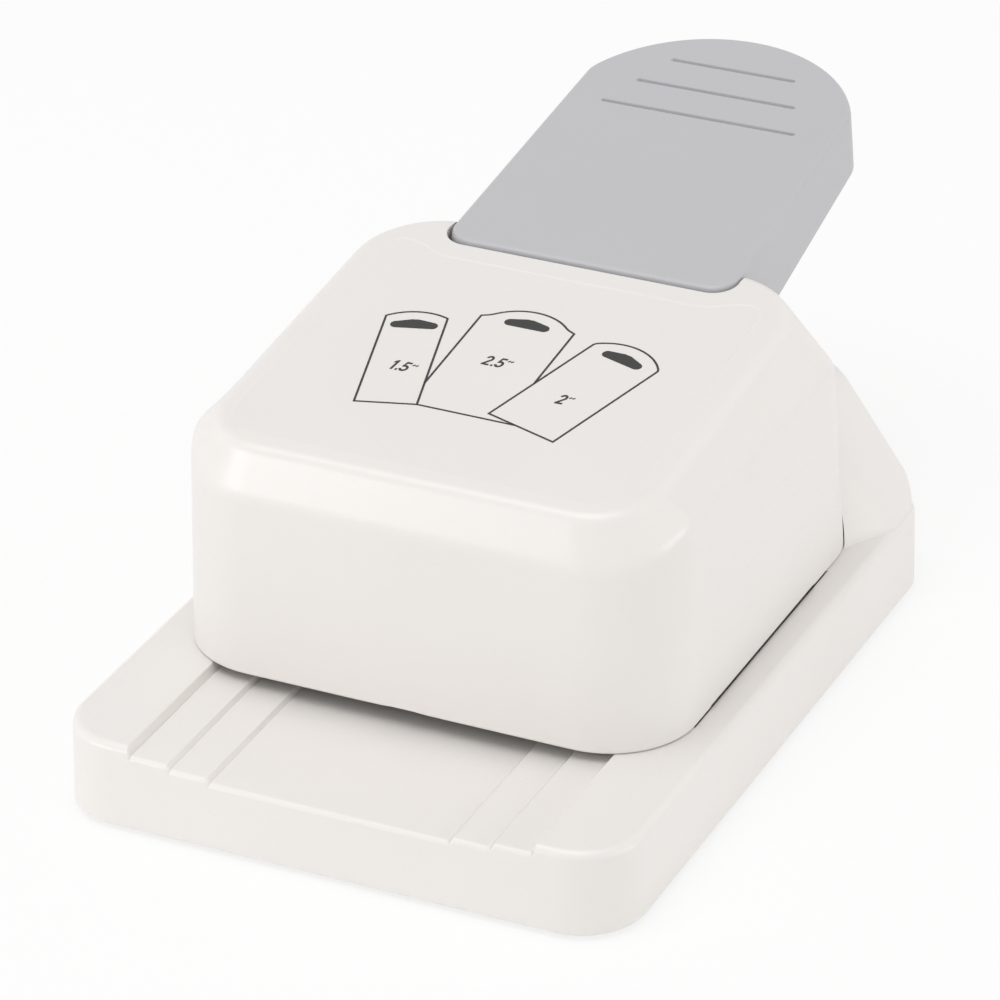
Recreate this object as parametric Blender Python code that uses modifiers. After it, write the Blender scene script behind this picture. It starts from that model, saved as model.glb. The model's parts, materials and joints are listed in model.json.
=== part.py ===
"""Gift tag punch: a white base and head, a grey press lever, and the punch and die set inside.

Metres, +Z up, +X right, +Y back. The pieces are laid out from the front bottom edge of the base, under an
empty that brings the middle of the whole punch, on its feet, to the origin.
"""

import math

import bmesh
import bpy
from mathutils import Matrix, Vector

# Clearances
GAP = 0.0003
PAPER_PLAY = 0.00045
PUNCH_PLAY = 0.0003
SLIDE_PLAY = 0.0004
LEVER_PLAY = 0.00035
OVERRUN = 0.002
MERGE = 0.00001

# Paper strips that the punch takes
WIDE_PAPER = 0.0635
MIDDLE_PAPER = 0.0508
NARROW_PAPER = 0.0381

# Base
RIM_HEIGHT = 0.0134
RIM_STEP = 0.00142
MIDDLE_STEP = 0.00069
INNER_STEP = 0.00063
STEP_LEAN = 0.00025
RIM_LEDGE = 0.0051
RIM_ROUND = 0.0013
BASE_CORNER_FRONT = 0.0098
BASE_CORNER_REAR = 0.0076
BASE_TAPER = 0.00025
BASE_WALL = 0.0022
POCKET_LEDGE = 0.0012
PLATFORM = 0.0257
HUMP_HEIGHT = 0.0345
HUMP_FOOT_INSET = 0.0016
HUMP_BACK_INSET = 0.0010
HUMP_SLOPE_RUN = 0.0142
HUMP_ROUND = 0.0080
HUMP_DEPTH = 0.0123
HUMP_TAPER = 0.0005
HUMP_EDGE = 0.0012

# Underside
COVER_RECESS = 0.0002
COVER_THICK = 0.0024
FOOT_RADIUS = 0.0050
FOOT_PROUD = 0.0008
FOOT_SEAT = 0.0006
FOOT_EDGE = 0.0004
FOOT_INSET = 0.0104
FOOT_SETBACK = 0.0140

# Punch and die set
DIE_BORDER = 0.0043
DIE_THICK = 0.0020
DIE_LENGTH = 0.0527
FRONT_ROOM = 0.0154
REAR_ROOM = 0.0095
GUIDE_THICK = 0.0015
PUNCH_OVER = 0.00015
TIP_UP = 0.0007
TIP_THROUGH = 0.00246
ARC_RADIUS = 0.0340
ARC_HALF = 0.0240
SHOULDER_DROP = 0.0020
SHOULDER_RUN = 0.0030
APEX_SETBACK = 0.0417
APEX_BAND = 0.0030
HOLE_WIDTH = 0.0270
HOLE_DEPTH = 0.0075
HOLE_TO_APEX = 0.0130
HOLE_END = 0.0022
HOLE_SHANK = 0.0040
CHUTE_MARGIN = 0.0012
CHUTE_WALL = 0.0012

# Frame and axle
FRAME_THICK = 0.0016
TAB_LENGTH = 0.0065
ARCH_MARGIN = 0.0012
ARCH_TOP_UP = 0.0018
AXLE_RADIUS = 0.0025
AXLE_SETBACK = 0.0047
AXLE_HEIGHT = 0.0420
AXLE_EYE = 0.0060
CLIP_THICK = 0.0008
CLIP_RADIUS = 0.0045
AXLE_END = 0.0008
BUSH_RADIUS = 0.0045
REAR_LEG_HEIGHT = 0.0105
REAR_SLOPE_RUN = 0.0080
REAR_SLOPE_RISE = 0.0100

# Carrier, posts and springs
CARRIER_THICK = 0.0050
CARRIER_REAR = 0.0005
BOSS_HALF = 0.0150
BOSS_DEPTH = 0.0120
BLADE_HEIGHT = 0.0123
POST_RADIUS = 0.0020
POST_X = 0.0260
POST_BEHIND_FRONT = 0.0041
POST_ABOVE = 0.0040
SPRING_WIRE = 0.00045
SPRING_COIL = 0.0030
SPRING_TO_BLADE = 0.00103
SPRING_TURNS = 4
SPRING_POINTS_A_TURN = 10

# Lever
PIN_ARM = 0.0320
PIN_DROP = 0.0015
PIN_RADIUS = 0.0025
ARM_INNER = 0.0180
ARM_THICK = 0.0030
HUB_RADIUS = 0.0055
WEB_THICK = 0.0020
LEVER_LENGTH = 0.0676
LEVER_HALF_FRONT = 0.0237
LEVER_HALF_TAIL = 0.0224
LEVER_FLARE = 0.0007
LEVER_FRONT_CORNER = 0.0040
LEVER_SHOULDER = 0.0060
LEVER_TAIL_RADIUS = 0.0239
LEVER_RISE = 0.0105
LEVER_FRONT_DEPTH = 0.0138
LEVER_TAIL_DEPTH = 0.0090
LEVER_EDGE = 0.0015
LEVER_INSET = 0.0024
LEVER_WALL = 0.0020
LEVER_SUNK = 0.0005
GROOVE_COUNT = 3
GROOVE_WIDTH = 0.0009
GROOVE_DEEP = 0.0005
GROOVE_PITCH = 0.0071
GROOVE_LAST_INSET = 0.0088
GROOVE_LAST_HALF = 0.0101
GROOVE_GROWTH = 0.0030

# Head cover
HEAD_WALL = 0.0022
HEAD_ROOM = 0.00105
HEAD_CORNER_FRONT = 0.0135
HEAD_CORNER_REAR = 0.0140
HEAD_DRAFT = 0.0005
HEAD_REAR_LEAN = 0.0045
SHOULDER_HEIGHT_FRONT = 0.0426
SHOULDER_HEIGHT_SIDE = 0.0468
SHOULDER_HEIGHT_REAR = 0.0438
PLATEAU_HEIGHT_FRONT = 0.0507
PLATEAU_HEIGHT_REAR = 0.0581
PLATEAU_SETBACK = 0.0022
PLATEAU_SIDE_INSET = 0.0051
PLATEAU_REAR_INSET = 0.0129
PLATEAU_CORNER_FRONT = 0.0100
PLATEAU_CORNER_REAR = 0.0130
PLATEAU_EDGE_DROP = 0.0005
PANEL_INSET = 0.0035
SHOULDER_SOFT = 0.0026
PLATEAU_SOFT = 0.0016
SLOT_FRONT = 0.0612
SLOT_BOTTOM = 0.0335
SLOT_CORNER = 0.0042
THUMB_NOTCH_WIDTH = 0.0090
THUMB_NOTCH_HEIGHT = 0.0007
HEAD_BOSS_RADIUS = 0.0030
HEAD_BOSS_HEIGHT = 0.0090
HEAD_BOSS_SETBACK_FRONT = 0.0123
HEAD_BOSS_SETBACK_REAR = 0.0084
HEAD_BOSS_INSET_FRONT = 0.0046
HEAD_BOSS_INSET_REAR = 0.00625

# Screws
SCREW_RADIUS = 0.0012
SCREW_HEAD_RADIUS = 0.0018
SCREW_HEAD_THICK = 0.0012
SCREW_DRIVE_RADIUS = 0.0009
SCREW_DRIVE_DEPTH = 0.0006
SCREW_TIP = 0.0005
BASE_POST_RADIUS = 0.0030
COVER_SCREW_INSET = 0.0069
COVER_SCREW_FRONT = 0.0300
COVER_SCREW_REAR = 0.0800
COVER_SCREW_BITE = 0.0035
HEAD_SCREW_BITE = 0.0060
CARRIER_SCREW_X = 0.0220
CARRIER_SCREW_BITE = 0.0060

# Facet counts
CORNER_STEPS = 6
ROUND_STEPS = 3
HOLE_SIDES = 16
SCREW_SIDES = 12
PIN_SIDES = 20

# Widths that follow from the paper
CHANNEL_HALF = WIDE_PAPER / 2 + PAPER_PLAY
DIE_HALF = CHANNEL_HALF + DIE_BORDER
HEAD_HALF = DIE_HALF + HEAD_ROOM + HEAD_WALL
BASE_HALF = HEAD_HALF + RIM_LEDGE
FRAME_OUTER = CHANNEL_HALF
FRAME_INNER = FRAME_OUTER - FRAME_THICK
CARRIER_HALF = FRAME_INNER - SLIDE_PLAY
PUNCH_HALF = WIDE_PAPER / 2 + PUNCH_OVER
SET_SCREW_X = (CHANNEL_HALF + DIE_HALF) / 2

# Places from the front edge, back along Y
DIE_FRONT = PLATFORM + HEAD_WALL + FRONT_ROOM
DIE_BACK = DIE_FRONT + DIE_LENGTH
HEAD_BACK = DIE_BACK + REAR_ROOM + HEAD_WALL
HUMP_FRONT = HEAD_BACK + GAP
BASE_LENGTH = HUMP_FRONT + HUMP_DEPTH
APEX = DIE_FRONT + APEX_SETBACK
TOPPER_BACK = APEX + APEX_BAND
ARC_DROP = ARC_RADIUS - math.sqrt(ARC_RADIUS**2 - ARC_HALF**2)
TOPPER_FRONT = APEX - ARC_DROP - SHOULDER_DROP
HOLE_MIDDLE = APEX - HOLE_TO_APEX
AXLE_Y = DIE_FRONT + AXLE_SETBACK
PIN_Y = AXLE_Y + PIN_ARM
POST_Y = TOPPER_FRONT - SPRING_TO_BLADE - SPRING_COIL - SPRING_WIRE
CARRIER_START = POST_Y - POST_BEHIND_FRONT
CARRIER_END = TOPPER_BACK + CARRIER_REAR
SLOT_START = PLATFORM + SLOT_FRONT
LEVER_FRONT = SLOT_START + 2 * LEVER_PLAY
LEVER_END = LEVER_FRONT + LEVER_LENGTH
PLATEAU_FRONT = PLATFORM + PLATEAU_SETBACK
PLATEAU_BACK = HEAD_BACK - PLATEAU_REAR_INSET

# Heights from the bottom edge of the base
CHANNEL_FLOOR = RIM_HEIGHT - RIM_STEP - MIDDLE_STEP - INNER_STEP
DIE_BOTTOM = CHANNEL_FLOOR - DIE_THICK
POCKET_FLOOR = DIE_BOTTOM - GAP
BASE_CEILING = POCKET_FLOOR - POCKET_LEDGE
COVER_TOP = COVER_RECESS + COVER_THICK
HEAD_BOTTOM = RIM_HEIGHT + GAP
GUIDE_BOTTOM = HEAD_BOTTOM
GUIDE_TOP = GUIDE_BOTTOM + GUIDE_THICK
FRAME_BOTTOM = GUIDE_TOP + GAP
TIP_HEIGHT = GUIDE_BOTTOM + TIP_UP
PUNCH_TRAVEL = TIP_HEIGHT - CHANNEL_FLOOR + TIP_THROUGH
BLADE_TOP = TIP_HEIGHT + BLADE_HEIGHT
CARRIER_BOTTOM = BLADE_TOP + GAP
CARRIER_TOP = CARRIER_BOTTOM + CARRIER_THICK
PIN_HEIGHT = AXLE_HEIGHT - PIN_DROP
BOSS_TOP = PIN_HEIGHT - PIN_RADIUS - GAP

PLATEAU_SLOPE = (PLATEAU_HEIGHT_REAR - PLATEAU_HEIGHT_FRONT) / (PLATEAU_BACK - PLATEAU_FRONT)
LEVER_SLOPE = LEVER_RISE / LEVER_LENGTH
PRESS_ANGLE = math.asin(PUNCH_TRAVEL / PIN_ARM)


def plateau_height(y):
    return PLATEAU_HEIGHT_FRONT + PLATEAU_SLOPE * (y - PLATEAU_FRONT)


LEVER_FRONT_HEIGHT = plateau_height(LEVER_FRONT) - LEVER_SUNK


def lever_height(y):
    return LEVER_FRONT_HEIGHT + LEVER_SLOPE * (y - LEVER_FRONT)


def lever_bottom(y):
    share = (y - LEVER_FRONT) / LEVER_LENGTH
    return lever_height(y) - LEVER_FRONT_DEPTH + (LEVER_FRONT_DEPTH - LEVER_TAIL_DEPTH) * share


# Scene, collections and materials


def clear_scene():
    for obj in list(bpy.data.objects):
        bpy.data.objects.remove(obj, do_unlink=True)


def new_collection(name, hidden=False):
    made = bpy.data.collections.new(name)
    bpy.context.scene.collection.children.link(made)
    made.hide_render = hidden
    return made


def new_material(name, colour, roughness, metallic=0.0):
    made = bpy.data.materials.new(name)
    made.use_nodes = True
    shader = made.node_tree.nodes["Principled BSDF"]
    shader.inputs["Base Color"].default_value = (*colour, 1.0)
    shader.inputs["Roughness"].default_value = roughness
    shader.inputs["Metallic"].default_value = metallic
    made.diffuse_color = (*colour, 1.0)
    return made


clear_scene()
PARTS = new_collection("gift_tag_punch")
CUTTERS = new_collection("cutters", hidden=True)
WHITE = new_material("white plastic", (0.80, 0.78, 0.75), 0.38)
GREY = new_material("grey plastic", (0.53, 0.53, 0.54), 0.42)
UNDER = new_material("white cover plastic", (0.76, 0.75, 0.72), 0.5)
STEEL = new_material("ground steel", (0.58, 0.58, 0.59), 0.28, 1.0)
ZINC = new_material("zinc plated steel", (0.66, 0.66, 0.64), 0.35, 1.0)
RUBBER = new_material("dark rubber", (0.05, 0.05, 0.05), 0.8)
NYLON = new_material("black nylon", (0.04, 0.04, 0.04), 0.5)


def new_empty(name, place, parent=None):
    made = bpy.data.objects.new(name, None)
    made.location = place
    made.parent = parent
    made.empty_display_size = HUB_RADIUS
    PARTS.objects.link(made)
    return made


MIDDLE = Vector((0.0, -(LEVER_END + LEVER_FLARE) / 2, FOOT_PROUD))
ROOT = new_empty("punch_origin", MIDDLE)
LEVER_AXIS = new_empty("lever_axis", (0.0, AXLE_Y, AXLE_HEIGHT), ROOT)
PUNCH_SLIDE = new_empty("punch_slide", (0.0, PIN_Y, CARRIER_TOP), ROOT)


# Shape helpers


def finish(name, mesh, material, parent=ROOT):
    """An object in the parts collection, its points given from the front bottom edge of the base."""
    made = bpy.data.objects.new(name, mesh)
    mesh.materials.clear()
    mesh.materials.append(material)
    made.parent = parent
    if parent is not ROOT:
        mesh.transform(Matrix.Translation(-parent.location))
    PARTS.objects.link(made)
    mesh.shade_smooth()
    mesh.set_sharp_from_angle(angle=math.radians(28))
    return made


def helper(name, mesh, parent=ROOT):
    """A cutter, or a shape that a Boolean joins to a part."""
    made = bpy.data.objects.new(name, mesh)
    made.parent = parent
    if parent is not ROOT:
        mesh.transform(Matrix.Translation(-parent.location))
    made.hide_render = True
    made.display_type = "WIRE"
    CUTTERS.objects.link(made)
    return made


def combine(target, other, operation):
    step = target.modifiers.new(other.name, "BOOLEAN")
    step.operation = operation
    step.solver = "EXACT"
    step.object = other


def mesh_of(bm, name):
    mesh = bpy.data.meshes.new(name)
    bm.to_mesh(mesh)
    bm.free()
    return mesh


def box_mesh(name, low, high):
    """A box between two opposite corners."""
    low, high = Vector(low), Vector(high)
    bm = bmesh.new()
    bmesh.ops.create_cube(bm, size=1.0)
    size = high - low
    bmesh.ops.scale(bm, vec=size, verts=bm.verts)
    bmesh.ops.translate(bm, vec=(low + high) / 2, verts=bm.verts)
    return mesh_of(bm, name)


AXIS_TURNS = {
    "X": Matrix.Rotation(math.pi / 2, 4, "Y"),
    "Z": Matrix.Identity(4),
}


def rods_mesh(name, rods, axis="Z", sides=HOLE_SIDES):
    """Solid cylinders that don't touch, each (middle, radius, length), all along one axis."""
    bm = bmesh.new()
    for middle, radius, length in rods:
        place = Matrix.Translation(middle) @ AXIS_TURNS[axis]
        bmesh.ops.create_cone(
            bm, cap_ends=True, segments=sides, radius1=radius, radius2=radius, depth=length, matrix=place
        )
    return mesh_of(bm, name)


def upright(x, y, bottom, top, radius):
    """A vertical rod for rods_mesh."""
    return (Vector((x, y, (bottom + top) / 2)), radius, top - bottom)


def crossing(y, z, left, right, radius):
    """A rod along X for rods_mesh."""
    return (Vector(((left + right) / 2, y, z)), radius, right - left)


def circle(centre_x, centre_y, radius, sides=HOLE_SIDES):
    turns = [2 * math.pi * k / sides for k in range(sides)]
    return [(centre_x + radius * math.cos(a), centre_y + radius * math.sin(a)) for a in turns]


def arc(centre_x, centre_y, radius, start, end, steps):
    turns = [math.radians(start + (end - start) * k / steps) for k in range(steps + 1)]
    return [(centre_x + radius * math.cos(a), centre_y + radius * math.sin(a)) for a in turns]


def rounded_box(half, front, back, radius_front, radius_back=None, steps=CORNER_STEPS):
    """A rectangle with round corners, seen from above, counter-clockwise from its front right corner."""
    back_radius = radius_front if radius_back is None else radius_back
    side_front, side_back = half - radius_front, half - back_radius
    return (
        arc(side_front, front + radius_front, radius_front, -90, 0, steps)
        + arc(side_back, back - back_radius, back_radius, 0, 90, steps)
        + arc(-side_back, back - back_radius, back_radius, 90, 180, steps)
        + arc(-side_front, front + radius_front, radius_front, 180, 270, steps)
    )


FLAT = Matrix.Identity(4)
UPRIGHT = Matrix(((0, 0, 1, 0), (1, 0, 0, 0), (0, 1, 0, 0), (0, 0, 0, 1)))
FACING = Matrix(((1, 0, 0, 0), (0, 0, -1, 0), (0, 1, 0, 0), (0, 0, 0, 1)))


def plate_mesh(name, loops, low, high, turn=FLAT):
    """A flat outline with its holes, as thick as from low to high along its own normal."""
    flat = bpy.data.curves.new(name, "CURVE")
    flat.dimensions = "2D"
    flat.fill_mode = "BOTH"
    flat.extrude = (high - low) / 2
    for loop in loops:
        spline = flat.splines.new("POLY")
        spline.points.add(len(loop) - 1)
        for point, (x, y) in zip(spline.points, loop):
            point.co = (x, y, 0.0, 1.0)
        spline.use_cyclic_u = True
    drawn = bpy.data.objects.new(name, flat)
    bpy.context.scene.collection.objects.link(drawn)
    graph = bpy.context.evaluated_depsgraph_get()
    mesh = bpy.data.meshes.new_from_object(drawn.evaluated_get(graph))
    bpy.data.objects.remove(drawn, do_unlink=True)
    bm = bmesh.new()
    bm.from_mesh(mesh)
    bmesh.ops.remove_doubles(bm, verts=bm.verts, dist=MERGE)
    bmesh.ops.translate(bm, vec=(0.0, 0.0, (low + high) / 2), verts=bm.verts)
    bmesh.ops.transform(bm, matrix=turn, verts=bm.verts)
    bmesh.ops.recalc_face_normals(bm, faces=bm.faces)
    bm.to_mesh(mesh)
    bm.free()
    return mesh


def loft_mesh(name, rings, cap_start=True, cap_end=True):
    """Skins a stack of rings, all with the same number of points."""
    bm = bmesh.new()
    rows = [[bm.verts.new(point) for point in ring] for ring in rings]
    count = len(rows[0])
    for lower, upper in zip(rows, rows[1:]):
        for k in range(count):
            nxt = (k + 1) % count
            bm.faces.new((lower[k], lower[nxt], upper[nxt], upper[k]))
    if cap_start:
        bm.faces.new(rows[0][::-1])
    if cap_end:
        bm.faces.new(rows[-1])
    return mesh_of(bm, name)


def level(outline, height):
    """An outline lifted to a height, or to a height that a function of its place gives."""
    lift = height if callable(height) else lambda x, y: height
    return [Vector((x, y, lift(x, y))) for x, y in outline]


def softened(column, reaches, steps=ROUND_STEPS):
    """A line through the points of a column, its inner corners rounded, each within its own reach."""
    line = [column[0]]
    for before, corner, after, reach in zip(column, column[1:], column[2:], reaches):
        arrive, leave = before - corner, after - corner
        start = corner + arrive.normalized() * min(reach, arrive.length / 2)
        end = corner + leave.normalized() * min(reach, leave.length / 2)
        for k in range(steps + 1):
            t = k / steps
            line.append(start * (1 - t) ** 2 + corner * 2 * t * (1 - t) + end * t**2)
    return line + [column[-1]]


def soft_rings(rings, reaches):
    columns = [softened(column, reaches) for column in zip(*rings)]
    return [list(ring) for ring in zip(*columns)]


def edge_profile(inset, rise, steps=ROUND_STEPS):
    """Insets and heights of a quarter-round edge, from its foot to its top."""
    turns = [math.pi / 2 * k / steps for k in range(steps + 1)]
    return [(inset * (1 - math.cos(a)), rise * math.sin(a)) for a in turns]


def mirrored_x(points):
    return [(-x, y) for x, y in reversed(points)]


# Base


def base_outline(inset):
    corners = BASE_CORNER_FRONT - inset, BASE_CORNER_REAR - inset
    return rounded_box(BASE_HALF - inset, inset, BASE_LENGTH - inset, *corners)


def base_block():
    """The solid outside of the base, its walls leaning in and its rim rounded."""
    rings = [level(base_outline(0.0), 0.0)]
    for inset, rise in edge_profile(RIM_ROUND, RIM_ROUND):
        rings.append(level(base_outline(BASE_TAPER + inset), RIM_HEIGHT - RIM_ROUND + rise))
    return loft_mesh("base_shell", rings)


def hump_profile(shrink, bottom):
    """Half of the hump as seen from the front, then mirrored: a flat top that slopes down to the rim."""
    rise = HUMP_HEIGHT - RIM_HEIGHT
    run = HUMP_SLOPE_RUN / rise
    top = HUMP_HEIGHT - shrink
    foot_x = BASE_HALF - HUMP_FOOT_INSET - shrink
    lean = math.atan2(rise, HUMP_SLOPE_RUN)
    radius = HUMP_ROUND - shrink
    top_x = foot_x - run * (top - RIM_HEIGHT)
    centre_x = top_x - radius * math.tan((math.pi / 2 - (math.pi / 2 - lean)) / 2)
    rounding = arc(centre_x, top - radius, radius, 90 - math.degrees(lean), 90, CORNER_STEPS)
    half = [(foot_x + run * (RIM_HEIGHT - bottom), bottom)] + rounding
    return half + mirrored_x(half)


def hump_solid(name, shrink, bottom, front, back, edge):
    """The hump between two faces that lean in as they rise, with its two end edges eased."""
    lean_front = HEAD_REAR_LEAN / (SHOULDER_HEIGHT_REAR - HEAD_BOTTOM)
    lean_back = HUMP_TAPER / (HUMP_HEIGHT - RIM_HEIGHT)

    def ring(extra, y, lean):
        points = hump_profile(shrink + extra, bottom)
        return [Vector((x, y - lean * (z - RIM_HEIGHT), z)) for x, z in points]

    rings = [
        ring(edge, front, lean_front),
        ring(0.0, front + edge, lean_front),
        ring(0.0, back - edge, lean_back),
        ring(edge, back, lean_back),
    ]
    return helper(name, loft_mesh(name, rings[::-1]))


def hump_trim(name, inset):
    """Keeps the hump within the base's round rear corners."""
    low = level(base_outline(inset), BASE_CEILING - 2 * OVERRUN)
    high = level(base_outline(inset + HUMP_TAPER), HUMP_HEIGHT + OVERRUN)
    return helper(name, loft_mesh(name, [low, high]))


def channel_outline():
    """The stepped paper channel as seen from the front, open upwards."""
    floor, inner = CHANNEL_FLOOR, CHANNEL_FLOOR + INNER_STEP
    middle, rim = inner + MIDDLE_STEP, RIM_HEIGHT
    half = [
        (NARROW_PAPER / 2, floor),
        (NARROW_PAPER / 2 + STEP_LEAN, inner),
        (MIDDLE_PAPER / 2, inner),
        (MIDDLE_PAPER / 2 + STEP_LEAN, middle),
        (WIDE_PAPER / 2, middle),
        (CHANNEL_HALF, rim),
        (CHANNEL_HALF, rim + OVERRUN),
    ]
    return half + mirrored_x(half)


def set_screw_places():
    front = DIE_FRONT + TAB_LENGTH / 2
    back = DIE_BACK - TAB_LENGTH / 2
    return [(side * SET_SCREW_X, y) for y in (front, back) for side in (-1, 1)]


def cover_screw_places():
    x = BASE_HALF - COVER_SCREW_INSET
    return [(side * x, y) for y in (COVER_SCREW_FRONT, COVER_SCREW_REAR) for side in (-1, 1)]


def head_screw_places():
    front = (HEAD_HALF - HEAD_BOSS_INSET_FRONT, PLATFORM + HEAD_BOSS_SETBACK_FRONT)
    back = (HEAD_HALF - HEAD_BOSS_INSET_REAR, HEAD_BACK - HEAD_BOSS_SETBACK_REAR)
    return [(side * x, y) for x, y in (front, back) for side in (-1, 1)]


def chute_box(name, bottom, top, grow=0.0):
    """The way that the waste paper falls, from the die down through the underside."""
    margin = CHUTE_MARGIN + grow
    half = PUNCH_HALF + margin
    front = min(HOLE_MIDDLE - HOLE_DEPTH / 2, TOPPER_FRONT) - margin
    return helper(name, box_mesh(name, (-half, front, bottom), (half, TOPPER_BACK + margin, top)))


def build_base():
    base = finish("base_shell", base_block(), WHITE)

    hump_back = BASE_LENGTH - BASE_TAPER - HUMP_BACK_INSET
    hump = hump_solid("hump", 0.0, BASE_CEILING, HUMP_FRONT, hump_back, HUMP_EDGE)
    combine(hump, hump_trim("hump_trim", BASE_TAPER + RIM_ROUND / 2), "INTERSECT")
    combine(base, hump, "UNION")

    room = [level(base_outline(BASE_WALL), -OVERRUN), level(base_outline(BASE_WALL), BASE_CEILING)]
    combine(base, helper("base_room", loft_mesh("base_room", room)), "DIFFERENCE")
    start, end = HUMP_FRONT + BASE_WALL, hump_back - BASE_WALL
    hollow = hump_solid("hump_room", BASE_WALL, BASE_CEILING - OVERRUN, start, end, GAP)
    room_trim = BASE_TAPER + RIM_ROUND / 2 + BASE_WALL
    combine(hollow, hump_trim("hump_room_trim", room_trim), "INTERSECT")
    combine(base, hollow, "DIFFERENCE")

    channel = plate_mesh("channel", [channel_outline()], -DIE_FRONT - OVERRUN, OVERRUN, FACING)
    combine(base, helper("channel", channel), "DIFFERENCE")
    reach = DIE_HALF + GAP
    low = (-reach, DIE_FRONT - GAP, POCKET_FLOOR)
    high = (reach, DIE_BACK + GAP, RIM_HEIGHT + OVERRUN)
    combine(base, helper("pocket", box_mesh("pocket", low, high)), "DIFFERENCE")

    post_bottom, post_top = COVER_TOP + GAP, BASE_CEILING + POCKET_LEDGE / 2
    combine(base, chute_box("chute_wall", post_bottom, post_top, CHUTE_WALL), "UNION")
    places = set_screw_places() + cover_screw_places()
    posts = [upright(x, y, post_bottom, post_top, BASE_POST_RADIUS) for x, y in places]
    combine(base, helper("base_posts", rods_mesh("base_posts", posts)), "UNION")
    combine(base, chute_box("base_chute", COVER_TOP, POCKET_FLOOR + OVERRUN), "DIFFERENCE")

    bore = SCREW_RADIUS + GAP
    holes = [upright(x, y, COVER_TOP, POCKET_FLOOR + OVERRUN, bore) for x, y in set_screw_places()]
    cover_depth = COVER_TOP + COVER_SCREW_BITE + 2 * GAP
    holes += [upright(x, y, COVER_TOP - OVERRUN, cover_depth, bore) for x, y in cover_screw_places()]
    through = RIM_HEIGHT + OVERRUN
    holes += [upright(x, y, BASE_CEILING - OVERRUN, through, bore) for x, y in head_screw_places()]
    combine(base, helper("base_holes", rods_mesh("base_holes", holes)), "DIFFERENCE")


# Underside


def foot_places():
    x = BASE_HALF - FOOT_INSET
    return [(side * x, y) for y in (FOOT_SETBACK, BASE_LENGTH - FOOT_SETBACK) for side in (-1, 1)]


def build_bottom_cover():
    outline = base_outline(BASE_WALL + GAP)
    bores = [circle(x, y, SCREW_RADIUS + GAP) for x, y in cover_screw_places()]
    plate = plate_mesh("bottom_cover", [outline] + bores, COVER_RECESS, COVER_TOP)
    cover = finish("bottom_cover", plate, UNDER)
    below = COVER_RECESS - OVERRUN
    combine(cover, chute_box("cover_chute", below, COVER_TOP + OVERRUN), "DIFFERENCE")
    seat, sunk = COVER_RECESS + FOOT_SEAT, COVER_RECESS + SCREW_HEAD_THICK + GAP
    wells = [upright(x, y, below, seat, FOOT_RADIUS + GAP) for x, y in foot_places()]
    wells += [upright(x, y, below, sunk, SCREW_HEAD_RADIUS + GAP) for x, y in cover_screw_places()]
    combine(cover, helper("cover_wells", rods_mesh("cover_wells", wells)), "DIFFERENCE")


def turned(name, profile, material, place, flip=False, parent=ROOT, steps=SCREW_SIDES):
    """A piece turned about its own Z axis from a profile that runs from its top to its bottom."""
    mesh = bpy.data.meshes.new(name)
    mesh.from_pydata([(r, 0.0, z) for r, z in profile], [(k, k + 1) for k in range(len(profile) - 1)], [])
    mesh.materials.append(material)
    made = bpy.data.objects.new(name, mesh)
    spin = made.modifiers.new("turn", "SCREW")
    spin.steps = spin.render_steps = steps
    spin.use_merge_vertices = True
    spin.merge_threshold = MERGE
    spin.use_smooth_shade = True
    made.parent = parent
    made.location = Vector(place) - (parent.location if parent is not ROOT else Vector())
    if flip:
        made.rotation_euler = (math.pi, 0.0, 0.0)
    PARTS.objects.link(made)
    return made


SIDE_NAMES = {-1: "left", 1: "right"}


def place_name(stem, x, y, middle):
    return f"{stem}_{'front' if y < middle else 'rear'}_{'left' if x < 0 else 'right'}"


def build_feet():
    top = COVER_RECESS + FOOT_SEAT - GAP
    profile = [
        (0.0, top),
        (FOOT_RADIUS, top),
        (FOOT_RADIUS, FOOT_EDGE - FOOT_PROUD),
        (FOOT_RADIUS - FOOT_EDGE, -FOOT_PROUD),
        (0.0, -FOOT_PROUD),
    ]
    for x, y in foot_places():
        turned(place_name("foot", x, y, BASE_LENGTH / 2), profile, RUBBER, (x, y, 0.0), steps=PIN_SIDES)


def screw_profile(length):
    """A pan head with a round drive recess above z = 0, and a shank of a given length below it."""
    head_top = SCREW_HEAD_THICK
    return [
        (0.0, head_top - SCREW_DRIVE_DEPTH),
        (SCREW_DRIVE_RADIUS, head_top - SCREW_DRIVE_DEPTH),
        (SCREW_DRIVE_RADIUS, head_top),
        (SCREW_HEAD_RADIUS, head_top),
        (SCREW_HEAD_RADIUS, 0.0),
        (SCREW_RADIUS, 0.0),
        (SCREW_RADIUS, SCREW_TIP - length),
        (SCREW_RADIUS - SCREW_TIP, -length),
        (0.0, -length),
    ]


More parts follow.
